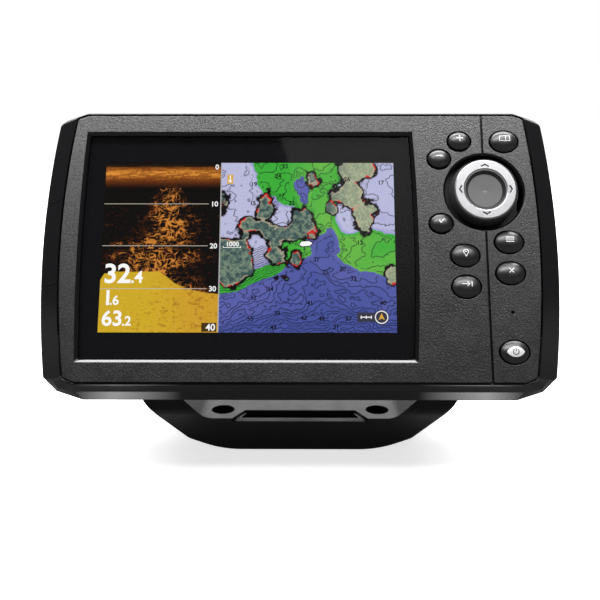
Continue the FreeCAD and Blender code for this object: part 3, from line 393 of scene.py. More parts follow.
GLOSS_FRAME = glossy("smooth_bezel_edge", (0.004, 0.004, 0.005), 0.1, 0.7 * MM, specular=0.5)
# Dull black that reflects almost nothing: painted shade on the walls of the key wells and on the keys' steep
# sides.
WELL_PAINTED_SHADE = rubber("key_well_painted_shade", (0.006, 0.006, 0.006), 0.8, specular=0.1, sheen=0.0)
PRINT_BLACK = glossy("glass_print_black", (0.004, 0.004, 0.005), 0.3, specular=0.0)
PAD_DISH = rubber("pad_dish", (0.115, 0.115, 0.117), 0.42)
KEY_PRINT = rubber("key_print", (0.78, 0.78, 0.79), 0.5)
MARK_PRINT = rubber("mark_print", (0.06, 0.06, 0.063), 0.5)
POWER_PRINT = rubber("power_print", (0.03, 0.03, 0.03), 0.5)
WHITE_LIGHT = lit_paint("lit_white", (1.0, 1.0, 1.0))
BLACK_LIGHT = lit_paint("lit_black", (0.004, 0.004, 0.005))
LINE_LIGHT = lit_paint("lit_line", linear(196, 190, 178))
DIVIDER_LIGHT = lit_paint("lit_divider", linear(176, 176, 176))
GOLD_LIGHT = lit_paint("lit_gold", linear(222, 172, 62))
BADGE_LIGHT = lit_paint("lit_badge", linear(58, 56, 72))
SHADE_LIGHT = lit_paint("lit_shade", linear(70, 52, 20))


def dress_nodes():
    """Each CAD node takes the look of its material slot."""
    for part in frame["record"]["subparts"]:
        mesh = NODES[part["node"]].data
        mesh.materials.clear()
        mesh.materials.append(SLOT_LOOKS[part["material_slot"]])


def dress_bezel():
    """The bezel's flat front is grained, its slopes and edges are smooth, and the walls of the key wells take a
    dull black without shine: painted shade for the gaps round the keys.
    """
    mesh = NODES["front_bezel"].data
    mesh.materials.append(GLOSS_FRAME)
    mesh.materials.append(WELL_PAINTED_SHADE)
    flat_depth, well_depth = 0.05 * MM, 0.45 * MM
    face_on, side_on = 0.99, 0.2
    reach = 1.2 * MM
    keys = [head_box(node) for node in list(KEY_MARKS) + ["key_power"]]
    for polygon in mesh.polygons:
        x, depth, z = TO_HEAD @ polygon.center
        facing = polygon.normal.dot(-INWARD)
        in_well = any(low.x - reach < x < high.x + reach and low.z - reach < z < high.z + reach
                      for low, high in keys)
        if facing > face_on and abs(depth) < flat_depth:
            polygon.material_index = 0
        elif abs(facing) < side_on and depth > well_depth and in_well:
            polygon.material_index = 2
        else:
            polygon.material_index = 1


def dress_keys():
    """The steep sides of the keys take a dull black without shine, painted shade so that each key sits in a dark
    ring.
    """
    steep = 0.72
    for node in list(KEY_MARKS) + ["key_power"]:
        mesh = NODES[node].data
        mesh.materials.append(WELL_PAINTED_SHADE)
        for polygon in mesh.polygons:
            polygon.material_index = 1 if polygon.normal.dot(-INWARD) < steep else 0


def dress_pad():
    """The dish inside the cursor ring is a paler rubber than the pad's skirt."""
    mesh = NODES["cursor_pad"].data
    mesh.materials.append(PAD_DISH)
    low, high = head_box("cursor_pad")
    centre = (low + high) / 2
    dish_radius, level = 0.64 * (high.x - low.x) / 2, 0.93
    for polygon in mesh.polygons:
        place = TO_HEAD @ polygon.center
        reach = math.hypot(place.x - centre.x, place.z - centre.z)
        polygon.material_index = 1 if reach < dish_radius and polygon.normal.dot(-INWARD) > level else 0


# ---- flat drawing ----
def placed(name, data):
    """A new object in the scene."""
    thing = bpy.data.objects.new(name, data)
    bpy.context.scene.collection.objects.link(thing)
    return thing


class Drawing:
    """Flat shapes gathered in millimetres as (x, z) points and faces."""

    def __init__(self):
        self.points, self.faces = [], []
        self.text_end = 0.0

    def add(self, points, faces):
        base = len(self.points)
        self.points += [tuple(p) for p in points]
        self.faces += [tuple(base + i for i in face) for face in faces]
        return self

    def fill(self, outline):
        """A filled outline, as a fan of triangles about its middle."""
        middle = (sum(p[0] for p in outline) / len(outline), sum(p[1] for p in outline) / len(outline))
        count = len(outline)
        faces = [(0, 1 + k, 1 + (k + 1) % count) for k in range(count)]
        return self.add([middle] + list(outline), faces)

    def stroke(self, path, width, closed=False, step=0.35):
        """A line of even width along a path, mitred at its bends."""
        path = subdivided([Vector(p) for p in path], step, closed)
        count, sharpest = len(path), 0.4
        sides = []
        for k, point in enumerate(path):
            before = path[k - 1] if k or closed else None
            after = path[(k + 1) % count] if k < count - 1 or closed else None
            ahead = (after - point).normalized() if after is not None else None
            behind = (point - before).normalized() if before is not None else None
            first, second = ahead or behind, behind or ahead
            along = (first + second).normalized()
            across = Vector((-along.y, along.x))
            widen = 1.0 / max(sharpest, math.sqrt(max(0.0, (1 + first.dot(second)) / 2)))
            sides += [point + across * width / 2 * widen, point - across * width / 2 * widen]
        runs = count if closed else count - 1
        around = 2 * count
        faces = [(2 * k, 2 * k + 1, (2 * k + 3) % around, (2 * k + 2) % around) for k in range(runs)]
        return self.add(sides, faces)

    def text(self, words, x, z, height, align="LEFT", weight=0.02):
        """Digits from the built-in plain font, height in millimetres; text_end is their right edge."""
        curve = bpy.data.curves.new("digits", "FONT")
        curve.body = words
        curve.align_x = align
        curve.size = height / DIGIT_SHARE
        curve.offset = weight * height
        thing = placed("digits", curve)
        mesh = thing.evaluated_get(bpy.context.evaluated_depsgraph_get()).to_mesh()
        points = [(x + v.co.x, z + v.co.y) for v in mesh.vertices]
        faces = [tuple(polygon.vertices) for polygon in mesh.polygons]
        self.text_end = max(point[0] for point in points)
        bpy.data.objects.remove(thing)
        bpy.data.curves.remove(curve)
        return self.add(points, faces)


def subdivided(path, step, closed):
    """The path with extra points, so that no stretch is longer than step."""
    result = []
    ends = path + path[:1] if closed else path
    for a, b in zip(ends, ends[1:]):
        pieces = max(1, math.ceil((b - a).length / step))
        result += [a.lerp(b, k / pieces) for k in range(pieces)]
    return result if closed else result + [path[-1]]


def ring_points(x, z, radius, start=0.0, stop=360.0, count=28):
    """Points round an arc; 0 degrees is up and angles run clockwise."""
    whole = stop - start >= 360.0
    steps = count if whole else count - 1
    angles = [math.radians(start + (stop - start) * k / steps) for k in range(count)]
    return [(x + radius * math.sin(a), z + radius * math.cos(a)) for a in angles]


def finish_piece(name, mesh, matrix, material, body):
    """Put a mesh in the scene, on its body and in its material slot."""
    piece = placed(name, mesh)
    piece.matrix_world = matrix
    mesh.materials.append(material)
    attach(piece, body)
    return piece


def sheet(name, drawing, depth, material, body="head"):
    """A drawing laid flat at one depth of the head's frame."""
    mesh = bpy.data.meshes.new(name)
    mesh.from_pydata([(x * MM, depth, z * MM) for x, z in drawing.points], [], drawing.faces)
    mesh.validate()
    return finish_piece(name, mesh, HEAD, material, body)


def wrapped(name, drawing, node, material, body):
    """A drawing printed on a node's front surface, following its dome."""
    points = [Vector(v) for v in vertices(node)]
    polygons = [tuple(p.vertices) for p in NODES[node].data.polygons]
    tree = BVHTree.FromPolygons(points, polygons)
    printed, in_front = [], -20 * MM
    for x, z in drawing.points:
        start = HEAD @ Vector((x * MM, in_front, z * MM))
        hit = tree.ray_cast(start, INWARD)[0]
        printed.append(hit - INWARD * PRINT_LIFT)
    mesh = bpy.data.meshes.new(name)
    mesh.from_pydata(printed, [], drawing.faces)
    mesh.validate()
    piece = finish_piece(name, mesh, Matrix.Identity(4), material, body)
    solid = piece.modifiers.new("thickness", "SOLIDIFY")
    solid.thickness = PRINT_THICK
    solid.offset = 0.0
    return piece


# ---- pictures on the display ----
def lattice_noise(x, y, cell_x, cell_y, seed):
    """Smooth random values between 0 and 1 over arrays of positions in millimetres."""
    u, v = x / cell_x, y / cell_y
    i, j = np.floor(u).astype(int), np.floor(v).astype(int)
    table = np.random.RandomState(seed).rand(int(i.max()) + 3, int(j.max()) + 3)
    fu, fv = u - i, v - j
    fu, fv = fu * fu * (3 - 2 * fu), fv * fv * (3 - 2 * fv)
    top = table[i, j] * (1 - fu) + table[i + 1, j] * fu
    low = table[i, j + 1] * (1 - fu) + table[i + 1, j + 1] * fu
    return top * (1 - fv) + low * fv


def fractal(x, y, cell_x, cell_y, seed, octaves):
    """Lattice noise with finer and fainter layers on top of it."""
    total, weight, amount = 0.0, 0.0, 1.0
    for k in range(octaves):
        total = total + amount * lattice_noise(x, y, cell_x / 2 ** k, cell_y / 2 ** k, seed + k)
        weight += amount
        amount *= 0.55
    return total / weight


def ease(value, start, stop):
    """Share from 0 to 1 that rises smoothly as value runs from start to stop."""
    t = np.clip((value - start) / (stop - start), 0.0, 1.0)
    return t * t * (3 - 2 * t)


def smooth_line(value, places, levels, reach=0.05):
    """A line through places and levels, its corners rounded over a reach either side."""
    offsets = np.linspace(-reach, reach, 9)
    return np.mean([np.interp(value + offset, places, levels) for offset in offsets], axis=0)


# Colours of the sonar view and of the chart as shown, each channel from 0 to 255.
PALETTE = {
    "water": (13, 10, 9), "surface": (128, 62, 18), "surface_line": (226, 146, 56),
    "branch": (116, 56, 18), "bright_branch": (224, 146, 60), "stray": (104, 48, 16),
    "ground": (209, 172, 40), "warm_ground": (206, 152, 44), "pebble": (150, 96, 26),
    "glint": (226, 190, 70),
    "shallow": (158, 158, 210), "shoal": (190, 190, 224), "green": (62, 176, 58),
    "light_green": (104, 184, 70), "deep": (92, 98, 172), "deepest": (72, 84, 158),
    "contour": (20, 22, 38), "steep": (34, 34, 44), "coast": (18, 14, 16), "land": (84, 108, 102),
    "dry": (128, 146, 122), "wood": (56, 76, 78), "pale": (190, 196, 158),
    "beach": (190, 176, 150), "reef": (206, 30, 28),
}


def mixed(colours, name, share):
    """Colours moved towards the named one by a share per point."""
    target = np.array(linear(*PALETTE[name]))
    return colours * (1 - share[:, None]) + target * share[:, None]


def sonar_colours(u, v, x, y):
    """Amber sonar view: surface band, a sunken tree, and a bright bottom.

    u and v are shares across and down the view, x and y the same in millimetres."""
    grains = lattice_noise(x, y, 0.35, 0.35, 5)
    colours = np.tile(linear(*PALETTE["water"]), (len(u), 1))
    colours = sonar_surface(colours, v, x, y, grains)
    colours = sonar_tree(colours, u, v, x, y, grains)
    return sonar_ground(colours, u, v, x, y, grains)


def sonar_surface(colours, v, x, y, grains):
    """The band of echoes at the water's surface with its brightest line."""
    surface = ease(v, 0.024, 0.03) * (1 - ease(v, 0.085, 0.16))
    streak = fractal(x, y, 3.4, 0.5, 11, 3) + 0.3 * (grains - 0.5)
    colours = mixed(colours, "surface", np.clip(surface * (0.5 + 0.6 * grains), 0, 1))
    line_at, line_width = 0.066, 0.026
    line = np.exp(-((v - line_at) / line_width) ** 2) * (0.3 + 0.7 * ease(streak, 0.4, 0.62))
    return mixed(colours, "surface_line", np.clip(line, 0, 1))


def sonar_tree(colours, u, v, x, y, grains):
    """A sunken tree: short bright strokes inside a crown that widens with depth."""
    spread_at = smooth_line(v, [0.12, 0.18, 0.25, 0.38, 0.45, 0.55, 0.66, 0.8],
                            [0.04, 0.11, 0.19, 0.22, 0.3, 0.38, 0.42, 0.3], 0.02)
    middle_at = smooth_line(v, [0.12, 0.38, 0.5, 0.66, 0.8], [0.57, 0.56, 0.44, 0.44, 0.66], 0.02)
    spread_at = spread_at * (0.75 + 0.6 * lattice_noise(x * 0.0, y, 1.0, 1.5, 21))
    crown = np.clip(1.15 - np.abs(u - middle_at) / spread_at, 0, 1)
    crown *= ease(v, 0.115, 0.16) * (1 - ease(v, 0.76, 0.82))
    sway = x + 2.0 + 1.4 * lattice_noise(x, y, 2.0, 2.0, 23)
    rise = y + 2.0 + 1.2 * lattice_noise(x, y, 1.8, 1.8, 24)
    twigs = 1 - np.abs(2 * lattice_noise(sway, rise, 2.1, 0.72, 31) - 1)
    boughs = 1 - np.abs(2 * lattice_noise(sway, rise, 0.85, 2.2, 41) - 1)
    clumps = ease(fractal(x, y, 4.2, 2.6, 81, 3), 0.36, 0.6)
    echo = np.maximum(twigs, boughs * 0.95) - 0.27 * (1 - crown) - 0.14 * (1 - clumps)
    seen = ease(crown, 0.02, 0.2)
    faint = 0.85 * ease(echo, 0.55, 0.8) * (0.5 + 0.5 * clumps)
    colours = mixed(colours, "branch", seen * faint)
    strong = ease(echo, 0.7, 0.88) * (0.6 + 0.4 * grains)
    colours = mixed(colours, "bright_branch", seen * strong)
    stray = ease(fractal(x, y, 1.6, 0.7, 51, 3), 0.68, 0.78) * ease(v, 0.15, 0.4)
    return mixed(colours, "stray", 0.22 * stray)


def sonar_ground(colours, u, v, x, y, grains):
    """The bright bottom, warmer and pebbled towards the lower right."""
    ground_at = np.interp(u, [0.0, 0.03, 0.12, 0.5, 0.62, 0.72, 0.85, 1.0],
                          [0.7, 0.665, 0.652, 0.652, 0.715, 0.748, 0.768, 0.782])
    ground_at = ground_at + 0.004 * (lattice_noise(x, y, 1.2, 40.0, 61) - 0.5)
    ground = ease(v - ground_at, -0.002, 0.003)
    colours = mixed(colours, "ground", ground)
    colours = mixed(colours, "warm_ground", 0.8 * ground * ease(u, 0.35, 0.9))
    pebbles = ease(fractal(x, y, 1.3, 0.8, 71, 3), 0.6, 0.74) * ground * ease(u + v, 1.0, 1.5)
    colours = mixed(colours, "pebble", 0.6 * pebbles)
    return mixed(colours, "glint", 0.4 * ground * (grains > 0.8))


def blob(u, v, shape):
    """Rough distance inside a turned ellipse given as (x, y, half width, half height, degrees)."""
    cx, cy, half_w, half_h, turn = shape
    c, s = math.cos(math.radians(turn)), math.sin(math.radians(turn))
    a, b = (u - cx) * c + (v - cy) * s, (v - cy) * c - (u - cx) * s
    return (1 - np.sqrt((a / half_w) ** 2 + (b / half_h) ** 2)) * min(half_w, half_h)


# Land: ellipses as shares of the chart (middle, half width, half height) and a turn in degrees.
LAND = [
    (0.25, 0.29, 0.045, 0.075, 8), (0.19, 0.41, 0.12, 0.07, -12), (0.32, 0.42, 0.14, 0.06, 4),
    (0.46, 0.37, 0.085, 0.095, 0), (0.06, 0.6, 0.13, 0.13, 0), (0.32, 0.54, 0.045, 0.1, -20),
    (0.1, 0.5, 0.12, 0.06, 0), (0.74, 0.2, 0.085, 0.08, 20), (0.82, 0.31, 0.065, 0.085, 0),
    (0.79, 0.03, 0.085, 0.075, 0), (0.01, 0.215, 0.03, 0.05, 0), (0.99, 0.665, 0.035, 0.035, 0),
    (0.53, 0.085, 0.035, 0.038, 0), (0.44, 0.565, 0.022, 0.032, 0), (0.65, 0.285, 0.02, 0.022, 0),
]
# Stretches of sea with a depth of their own: an ellipse and its level.
POOLS = [
    ((0.44, 0.02, 0.27, 0.26, 25), 0.5), ((0.56, 0.2, 0.13, 0.24, 10), 0.52),
    ((0.47, 0.16, 0.045, 0.1, -10), 0.66), ((0.95, 0.26, 0.15, 0.27, 0), 0.31),
    ((0.87, 0.53, 0.2, 0.13, 4), 0.52), ((0.27, 0.24, 0.07, 0.055, 0), 0.4),
    ((0.43, 0.5, 0.1, 0.08, 30), 0.5),
]
# Water cut into the land.
INLETS = [(0.23, 0.55, 0.04, 0.09, -14), (0.37, 0.495, 0.04, 0.035, 0), (0.345, 0.33, 0.06, 0.065, 0)]


def chart_fields(u, v, x, y):
    """Land distance and depth over the chart, both rough at their edges."""
    rough = (fractal(x, y, 4.5, 4.5, 101, 5) - 0.5) * 0.11
    land = np.max([blob(u, v, shape) for shape in LAND], axis=0)
    land = np.minimum(land, -np.max([blob(u, v, shape) for shape in INLETS], axis=0)) + rough
    edge = smooth_line(u, [0.0, 0.2, 0.34, 0.45, 0.52, 0.64, 0.72, 0.85, 1.0],
                       [0.79, 0.7, 0.66, 0.55, 0.38, 0.36, 0.6, 0.62, 0.72])
    sweep = smooth_line(u, [0.0, 0.3, 0.55, 0.75, 1.0], [0.84, 0.72, 0.66, 0.64, 0.78], 0.12)
    beyond = 0.6 + 3.0 * np.clip(v - edge, 0, 0.03) + 0.75 * np.maximum(v - sweep, 0.08 * (v - edge))
    depth = np.where(v > edge, beyond, 0.6 + 2.2 * (v - edge))
    depth = np.maximum(depth, 0.18)
    for (cx, cy, half_w, half_h, turn), level in POOLS:
        inside = ease(blob(u, v, (cx, cy, half_w, half_h, turn)) + 0.5 * rough, -0.025, 0.03)
        depth = depth * (1 - inside) + level * inside
    broad = fractal(x, y, 15.0, 11.0, 131, 5) - 0.5
    return land, depth + broad * (0.16 + 0.14 * ease(v, 0.62, 0.8))


def contour_lines(field, shape, step, width):
    """1 on the level lines of a field, about width cells wide; lines too close together fade."""
    grid = field.reshape(shape)
    slope = np.hypot(*np.gradient(grid)) + 1e-6
    gap = np.abs((grid / step + 0.5) % 1.0 - 0.5) * step / slope
    crowded = ease(step / slope, 1.6, 3.4)
    return (np.clip(1.4 - gap / width, 0.0, 1.0) * crowded).ravel()


def chart_colours(u, v, x, y, shape):
    """Sea chart: lavender shallows, a green band, deep violet blue, land and coast."""
    land, depth = chart_fields(u, v, x, y)
    colours = np.tile(linear(*PALETTE["shallow"]), (len(u), 1))
    colours = chart_sea(colours, u, depth)
    lines = contour_lines(depth, shape, 0.024, 0.7) * ease(-land, 0.0, 0.01)
    colours = mixed(colours, "contour", 0.95 * lines)
    steep = ease(land, -0.035, -0.008) * ease(fractal(x, y, 1.1, 1.1, 141, 3), 0.5, 0.66)
    colours = mixed(colours, "steep", 0.55 * steep)
    return chart_land(colours, u, x, y, land)


def chart_sea(colours, u, depth):
    """Colour bands of the water by depth, which runs from 0 to about 1."""
    for name, share in (("shoal", ease(0.36 - depth, -0.06, 0.06)), ("green", ease(depth, 0.428, 0.434)),
                        ("light_green", ease(depth, 0.47, 0.55) * ease(u, 0.35, 0.6)),
                        ("deep", ease(depth, 0.598, 0.604)), ("deepest", ease(depth, 0.64, 0.8))):
        colours = mixed(colours, name, share)
    return colours


def chart_land(colours, u, x, y, land):
    """Land with a dark coast line, scrub, and stretches of beach and reef."""
    grains = lattice_noise(x, y, 0.5, 0.5, 111)
    colours = mixed(colours, "coast", ease(-np.abs(land + 0.006), -0.013, -0.006))
    inner = ease(land, 0.0005, 0.003)
    scrub = fractal(x, y, 1.1, 1.1, 151, 3)
    colours = mixed(colours, "land", inner)
    dry = 0.8 * ease(scrub + 0.4 * (grains - 0.5), 0.5, 0.68)
    colours = mixed(colours, "dry", inner * dry)
    colours = mixed(colours, "wood", inner * 0.8 * ease(0.5 - scrub, 0.0, 0.16))
    colours = mixed(colours, "pale", inner * ease(u, 0.6, 0.75) * (0.35 + 0.4 * grains))
    beach = ease(-np.abs(land - 0.008), -0.008, -0.001)
    beach *= ease(fractal(x, y, 4.0, 4.0, 161, 3), 0.42, 0.55)
    colours = mixed(colours, "beach", 0.8 * beach)
    reef = ease(-np.abs(land - 0.002), -0.007, -0.002)
    return mixed(colours, "reef", reef * ease(fractal(x, y, 2.6, 2.6, 171, 3), 0.58, 0.66))


def picture(name, low_x, high_x, depth, paint):
    """A grid of small cells over part of the display, coloured by a formula."""
    columns, rows = round((high_x - low_x) / CELL) + 1, round(ACTIVE_H / CELL) + 1
    u, v = np.meshgrid(np.linspace(0, 1, columns), np.linspace(0, 1, rows))
    u, v = u.ravel(), v.ravel()
    x, y = u * (high_x - low_x) / MM, v * ACTIVE_H / MM
    points = np.stack([low_x + x * MM, np.full_like(x, depth), (0.5 - v) * ACTIVE_H + PICTURE_RISE * MM], 1)
    index = np.arange(columns * rows).reshape(rows, columns)
    faces = np.stack([index[1:, :-1], index[1:, 1:], index[:-1, 1:], index[:-1, :-1]], -1).reshape(-1, 4)
    mesh = bpy.data.meshes.new(name)
    mesh.from_pydata(points.tolist(), [], faces.tolist())
    colours = paint(u, v, x, y, (rows, columns))
    layer = mesh.color_attributes.new("picture", "FLOAT_COLOR", "POINT")
    layer.data.foreach_set("color", np.concatenate([colours, np.ones((len(u), 1))], 1).ravel())
    return finish_piece(name, mesh, HEAD, lit_picture(name + "_light"), "head")


def screen():
    """Everything that shows on the display, and the black print round it."""
    glass_low, glass_high = head_box("screen_glass")
    middle = head_centre("lcd_panel").x
    depth = glass_high.y + PICTURE_GAP
    left, right = middle - ACTIVE_W / 2, middle + ACTIVE_W / 2
    split = left + ACTIVE_W * SONAR_SHARE
    picture("sonar_picture", left, split, depth, lambda u, v, x, y, shape: sonar_colours(u, v, x, y))
    picture("chart_picture", split, right, depth, chart_colours)
    sonar_drawings(left / MM, split / MM, depth)
    chart_drawings(split / MM, right / MM, depth)
    glass_print(left / MM, right / MM, glass_low, glass_high)


def panel_z(share):
    """Height of a share down the picture, in millimetres."""
    return (0.5 - share) * ACTIVE_H / MM + PICTURE_RISE


def sonar_drawings(left, right, depth):
    """Depth lines, depth scale and large readings on the sonar view."""
    width = right - left
    lines = Drawing()
    for share in (0.25, 0.5, 0.75):
        lines.stroke([(left, panel_z(share)), (right - 4.5, panel_z(share))], 0.22, step=20)
    sheet("sonar_depth_lines", lines, depth - LAYER, LINE_LIGHT)
    shade = Drawing().fill(box_points(right - 6.0, right - 0.6, panel_z(0.995), panel_z(0.945)))
    sheet("sonar_scale_shade", shade, depth - LAYER, SHADE_LIGHT)
    scale = Drawing()
    for words, share in (("0", 0.025), ("10", 0.25), ("20", 0.5), ("30", 0.75)):
        scale.text(words, right - 1.0, panel_z(share) - 0.95, 1.9, "RIGHT", 0.03)
    scale.text("40", right - 1.0, panel_z(0.988), 2.4, "RIGHT", 0.03)
    sheet("sonar_scale_digits", scale, depth - 2 * LAYER, WHITE_LIGHT)
    readings = Drawing()
    lines_of_text = (("32", ".4", 0.715, 7.0), ("1", ".6", 0.842, 5.4), ("63", ".2", 0.96, 5.4))
    for whole, part, share, tall in lines_of_text:
        readings.text(whole, left + 0.02 * width + 0.3, panel_z(share), tall, "LEFT", 0.032)
        readings.text(part, readings.text_end + 0.1, panel_z(share), tall * 0.62, "LEFT", 0.03)
    sheet("sonar_readings", readings, depth - 3 * LAYER, WHITE_LIGHT)
    divider = Drawing().stroke([(right, panel_z(0.0)), (right, panel_z(1.0))], 0.42, step=20)
    sheet("picture_divider", divider, depth - 2 * LAYER, DIVIDER_LIGHT)


def box_points(x0, x1, z0, z1):
    return [(x0, z0), (x1, z0), (x1, z1), (x0, z1)]


# Depth figures on the chart and where they stand, as shares across and down it.
SOUNDINGS = [
    ("19", 0.19, 0.13), ("15", 0.185, 0.245), ("22", 0.37, 0.02), ("24", 0.33, 0.08), ("17", 0.35, 0.2),
    ("22", 0.41, 0.245), ("26", 0.73, 0.1), ("17", 0.925, 0.12), ("12", 0.8, 0.48), ("20", 0.7, 0.635),
    ("37", 0.55, 0.58), ("32", 0.6, 0.655), ("32", 0.76, 0.69), ("34", 0.29, 0.75), ("32", 0.195, 0.8),
    ("41", 0.515, 0.83), ("39", 0.33, 0.89), ("43", 0.48, 0.915), ("49", 0.58, 0.92), ("37", 0.73, 0.92),
    ("55", 0.18, 0.92), ("43", 0.31, 0.97), ("40", 0.925, 0.83), ("31", 0.66, 0.965),
]


def chart_drawings(left, right, depth):
    """Soundings, boat, marker, north badge and scale bar on the chart."""
    def at(u, v):
        return left + u * (right - left), panel_z(v)

    soundings = Drawing()
    for words, u, v in SOUNDINGS:
        x, z = at(u, v)
        soundings.text(words, x, z - 0.8, 1.6, "CENTER", 0.035)
    sheet("chart_soundings", soundings, depth - LAYER, BLACK_LIGHT)
    chart_boat(*at(0.49, 0.487), depth)
    chart_marker(*at(0.052, 0.1), depth)
    north_badge(*at(0.915, 0.912), depth)
    scale_bar(*at(0.02, 0.51), depth)


def chart_boat(x, z, depth):
    """The boat's outline in white with a black edge."""
    hull = [(x - 2.3, z - 0.5), (x - 1.6, z + 0.75), (x + 1.2, z + 0.95), (x + 2.5, z + 0.2),
            (x + 1.5, z - 0.75), (x - 1.3, z - 1.0)]
    edge = [(x + (px - x) * 1.2, z + (pz - z) * 1.35) for px, pz in hull]
    sheet("chart_boat_edge", Drawing().fill(edge), depth - 2 * LAYER, BLACK_LIGHT)
    sheet("chart_boat", Drawing().fill(hull), depth - 3 * LAYER, WHITE_LIGHT)


def chart_marker(x, z, depth):
    """A gold tag with a white arrow that points down."""
    tag = box_points(x - 1.1, x + 1.1, z - 1.8, z + 1.8)
    sheet("chart_marker", Drawing().fill(tag), depth - 2 * LAYER, GOLD_LIGHT)
    arrow = Drawing().stroke([(x, z + 1.5), (x, z - 1.1)], 0.4)
    arrow.stroke([(x - 0.7, z - 0.3), (x, z - 1.2), (x + 0.7, z - 0.3)], 0.36)
    sheet("chart_marker_arrow", arrow, depth - 3 * LAYER, WHITE_LIGHT)


def north_badge(x, z, depth):
    """A plain ring with a needle, and a short scale beside it."""
    badge = Drawing().fill(box_points(x - 8.8, x + 2.5, z - 1.7, z + 1.7))
    badge.fill(ring_points(x, z, 2.7))
    sheet("north_badge", badge, depth - LAYER, BADGE_LIGHT)
    line, tick = 0.34, 0.55
    scale_left, scale_right = -7.4, -3.7
    ring = Drawing().stroke(ring_points(x, z, 2.25), line, closed=True)
    ring.stroke([(x + scale_left, z), (x + scale_right, z)], line)
    for along in (scale_left, (scale_left + scale_right) / 2, scale_right):
        ring.stroke([(x + along, z - tick), (x + along, z + tick)], line)
    sheet("north_ring", ring, depth - 2 * LAYER, WHITE_LIGHT)
    needle = Drawing().add([(x, z + 1.6), (x - 1.15, z - 1.1), (x, z - 0.45), (x + 1.15, z - 1.1)],
                           [(0, 1, 2), (0, 2, 3)])
    sheet("north_needle", needle, depth - 3 * LAYER, GOLD_LIGHT)


def scale_bar(x, z, depth):
    """A bar with turned-up ends and a round number over it."""
    length, end = 6.4, 0.6
    bar = Drawing().stroke([(x, z + end), (x, z), (x + length, z), (x + length, z + end)], 0.22)
    bar.text("1000", x + 0.9, z + 0.5, 1.7, "LEFT", 0.03)
    sheet("chart_scale_bar", bar, depth - 2 * LAYER, WHITE_LIGHT)


def glass_print(left, right, low, high):
    """Black border printed on the back of the glass; its outer sides are bowed."""
    margin = 0.15
    low_x, high_x = low.x / MM + margin, high.x / MM - margin
    low_z, high_z = low.z / MM + margin, high.z / MM - margin
    middle = (low_z + high_z) / 2
    top, bottom = panel_z(0.0), panel_z(1.0)
    strips, touch = 24, 1e-6
    between = [bottom + (top - bottom) * k / strips for k in range(1, strips)]
    levels = [low_z, bottom] + between + [top, high_z]

    def bow(z):
        return (z - middle) ** 2 / (2 * WINDOW_BOW / MM)

    border = Drawing()
    for z0, z1 in zip(levels, levels[1:]):
        outer0, outer1 = low_x + bow(z0), low_x + bow(z1)
        far0, far1 = high_x - bow(z0), high_x - bow(z1)
        if z0 >= bottom - touch and z1 <= top + touch:
            bands = [(outer0, left, left, outer1), (right, far0, far1, right)]
        else:
            bands = [(outer0, far0, far1, outer1)]
        for a, b, c, d in bands:
            border.add([(a, z0), (b, z0), (c, z1), (d, z1)], [(0, 1, 2, 3)])
    sheet("glass_print", border, high.y + LAYER, PRINT_BLACK)


# ---- marks on the keys ----
SIGN_REACH, SIGN_LINE = 1.15, 0.5      # plus and minus signs


def plus_mark(x, z):
    return minus_mark(x, z).stroke([(x, z - SIGN_REACH), (x, z + SIGN_REACH)], SIGN_LINE)


def minus_mark(x, z):
    return Drawing().stroke([(x - SIGN_REACH, z), (x + SIGN_REACH, z)], SIGN_LINE)


def tick_mark(x, z):
    return Drawing().stroke([(x - 1.0, z + 0.1), (x - 0.3, z - 0.7), (x + 1.05, z + 0.75)], 0.42)


def view_mark(x, z):
    """A window split in two."""
    half_w, half_h, split, line = 1.9, 0.95, 0.3, 0.3
    mark = Drawing().stroke(box_points(x - half_w, x + half_w, z - half_h, z + half_h), line, closed=True)
    return mark.stroke([(x + split, z - half_h), (x + split, z + half_h)], line)


def waypoint_mark(x, z):
    """A drop-shaped map pin with a ring in it."""
    head = z + 0.35
    pin = ring_points(x, head, 0.85, 230, 490, 20) + [(x, z - 1.35)]
    return Drawing().stroke(pin, 0.3, closed=True).fill(ring_points(x, head, 0.28, count=12))


def goto_mark(x, z):
    """An arrow that runs up to a bar."""
    line = 0.34
    mark = Drawing().stroke([(x - 1.9, z), (x + 0.9, z)], line)
    mark.stroke([(x, z + 0.85), (x + 0.95, z), (x, z - 0.85)], line)
    return mark.stroke([(x + 1.7, z - 0.95), (x + 1.7, z + 0.95)], line)


def menu_mark(x, z):
    mark = Drawing()
    for rise in (-0.8, 0.0, 0.8):
        mark.stroke([(x - 1.5, z + rise), (x + 1.5, z + rise)], 0.34)
    return mark


def exit_mark(x, z):
    reach, line = 0.85, 0.36
    mark = Drawing().stroke([(x - reach, z - reach), (x + reach, z + reach)], line)
    return mark.stroke([(x - reach, z + reach), (x + reach, z - reach)], line)


def power_mark(x, z):
    mark = Drawing().stroke(ring_points(x, z, 1.0, 35, 325, 22), 0.3)
    return mark.stroke([(x, z + 0.15), (x, z + 1.3)], 0.3)


# The mark of each key; the power key's is on its metal inlay.
KEY_MARKS = {
    "key_zoom_in": plus_mark, "key_zoom_out": minus_mark, "key_check": tick_mark, "key_view": view_mark,
    "key_mark": waypoint_mark, "key_goto": goto_mark, "key_menu": menu_mark, "key_exit": exit_mark,
}
MARK_RISE = 0.75       # the marks sit a little above the middle of a key


def key_marks():
    """A plain mark in place of the words on each key."""
    for node, draw in KEY_MARKS.items():
        centre = head_centre(node)
        drawing = draw(centre.x / MM, centre.z / MM + MARK_RISE)
        wrapped(node + "_print", drawing, node, KEY_PRINT, node + "_body")
    centre = head_centre("power_inlay")
    wrapped("power_inlay_print", power_mark(centre.x / MM, centre.z / MM), "power_inlay", POWER_PRINT,
            "key_power_body")


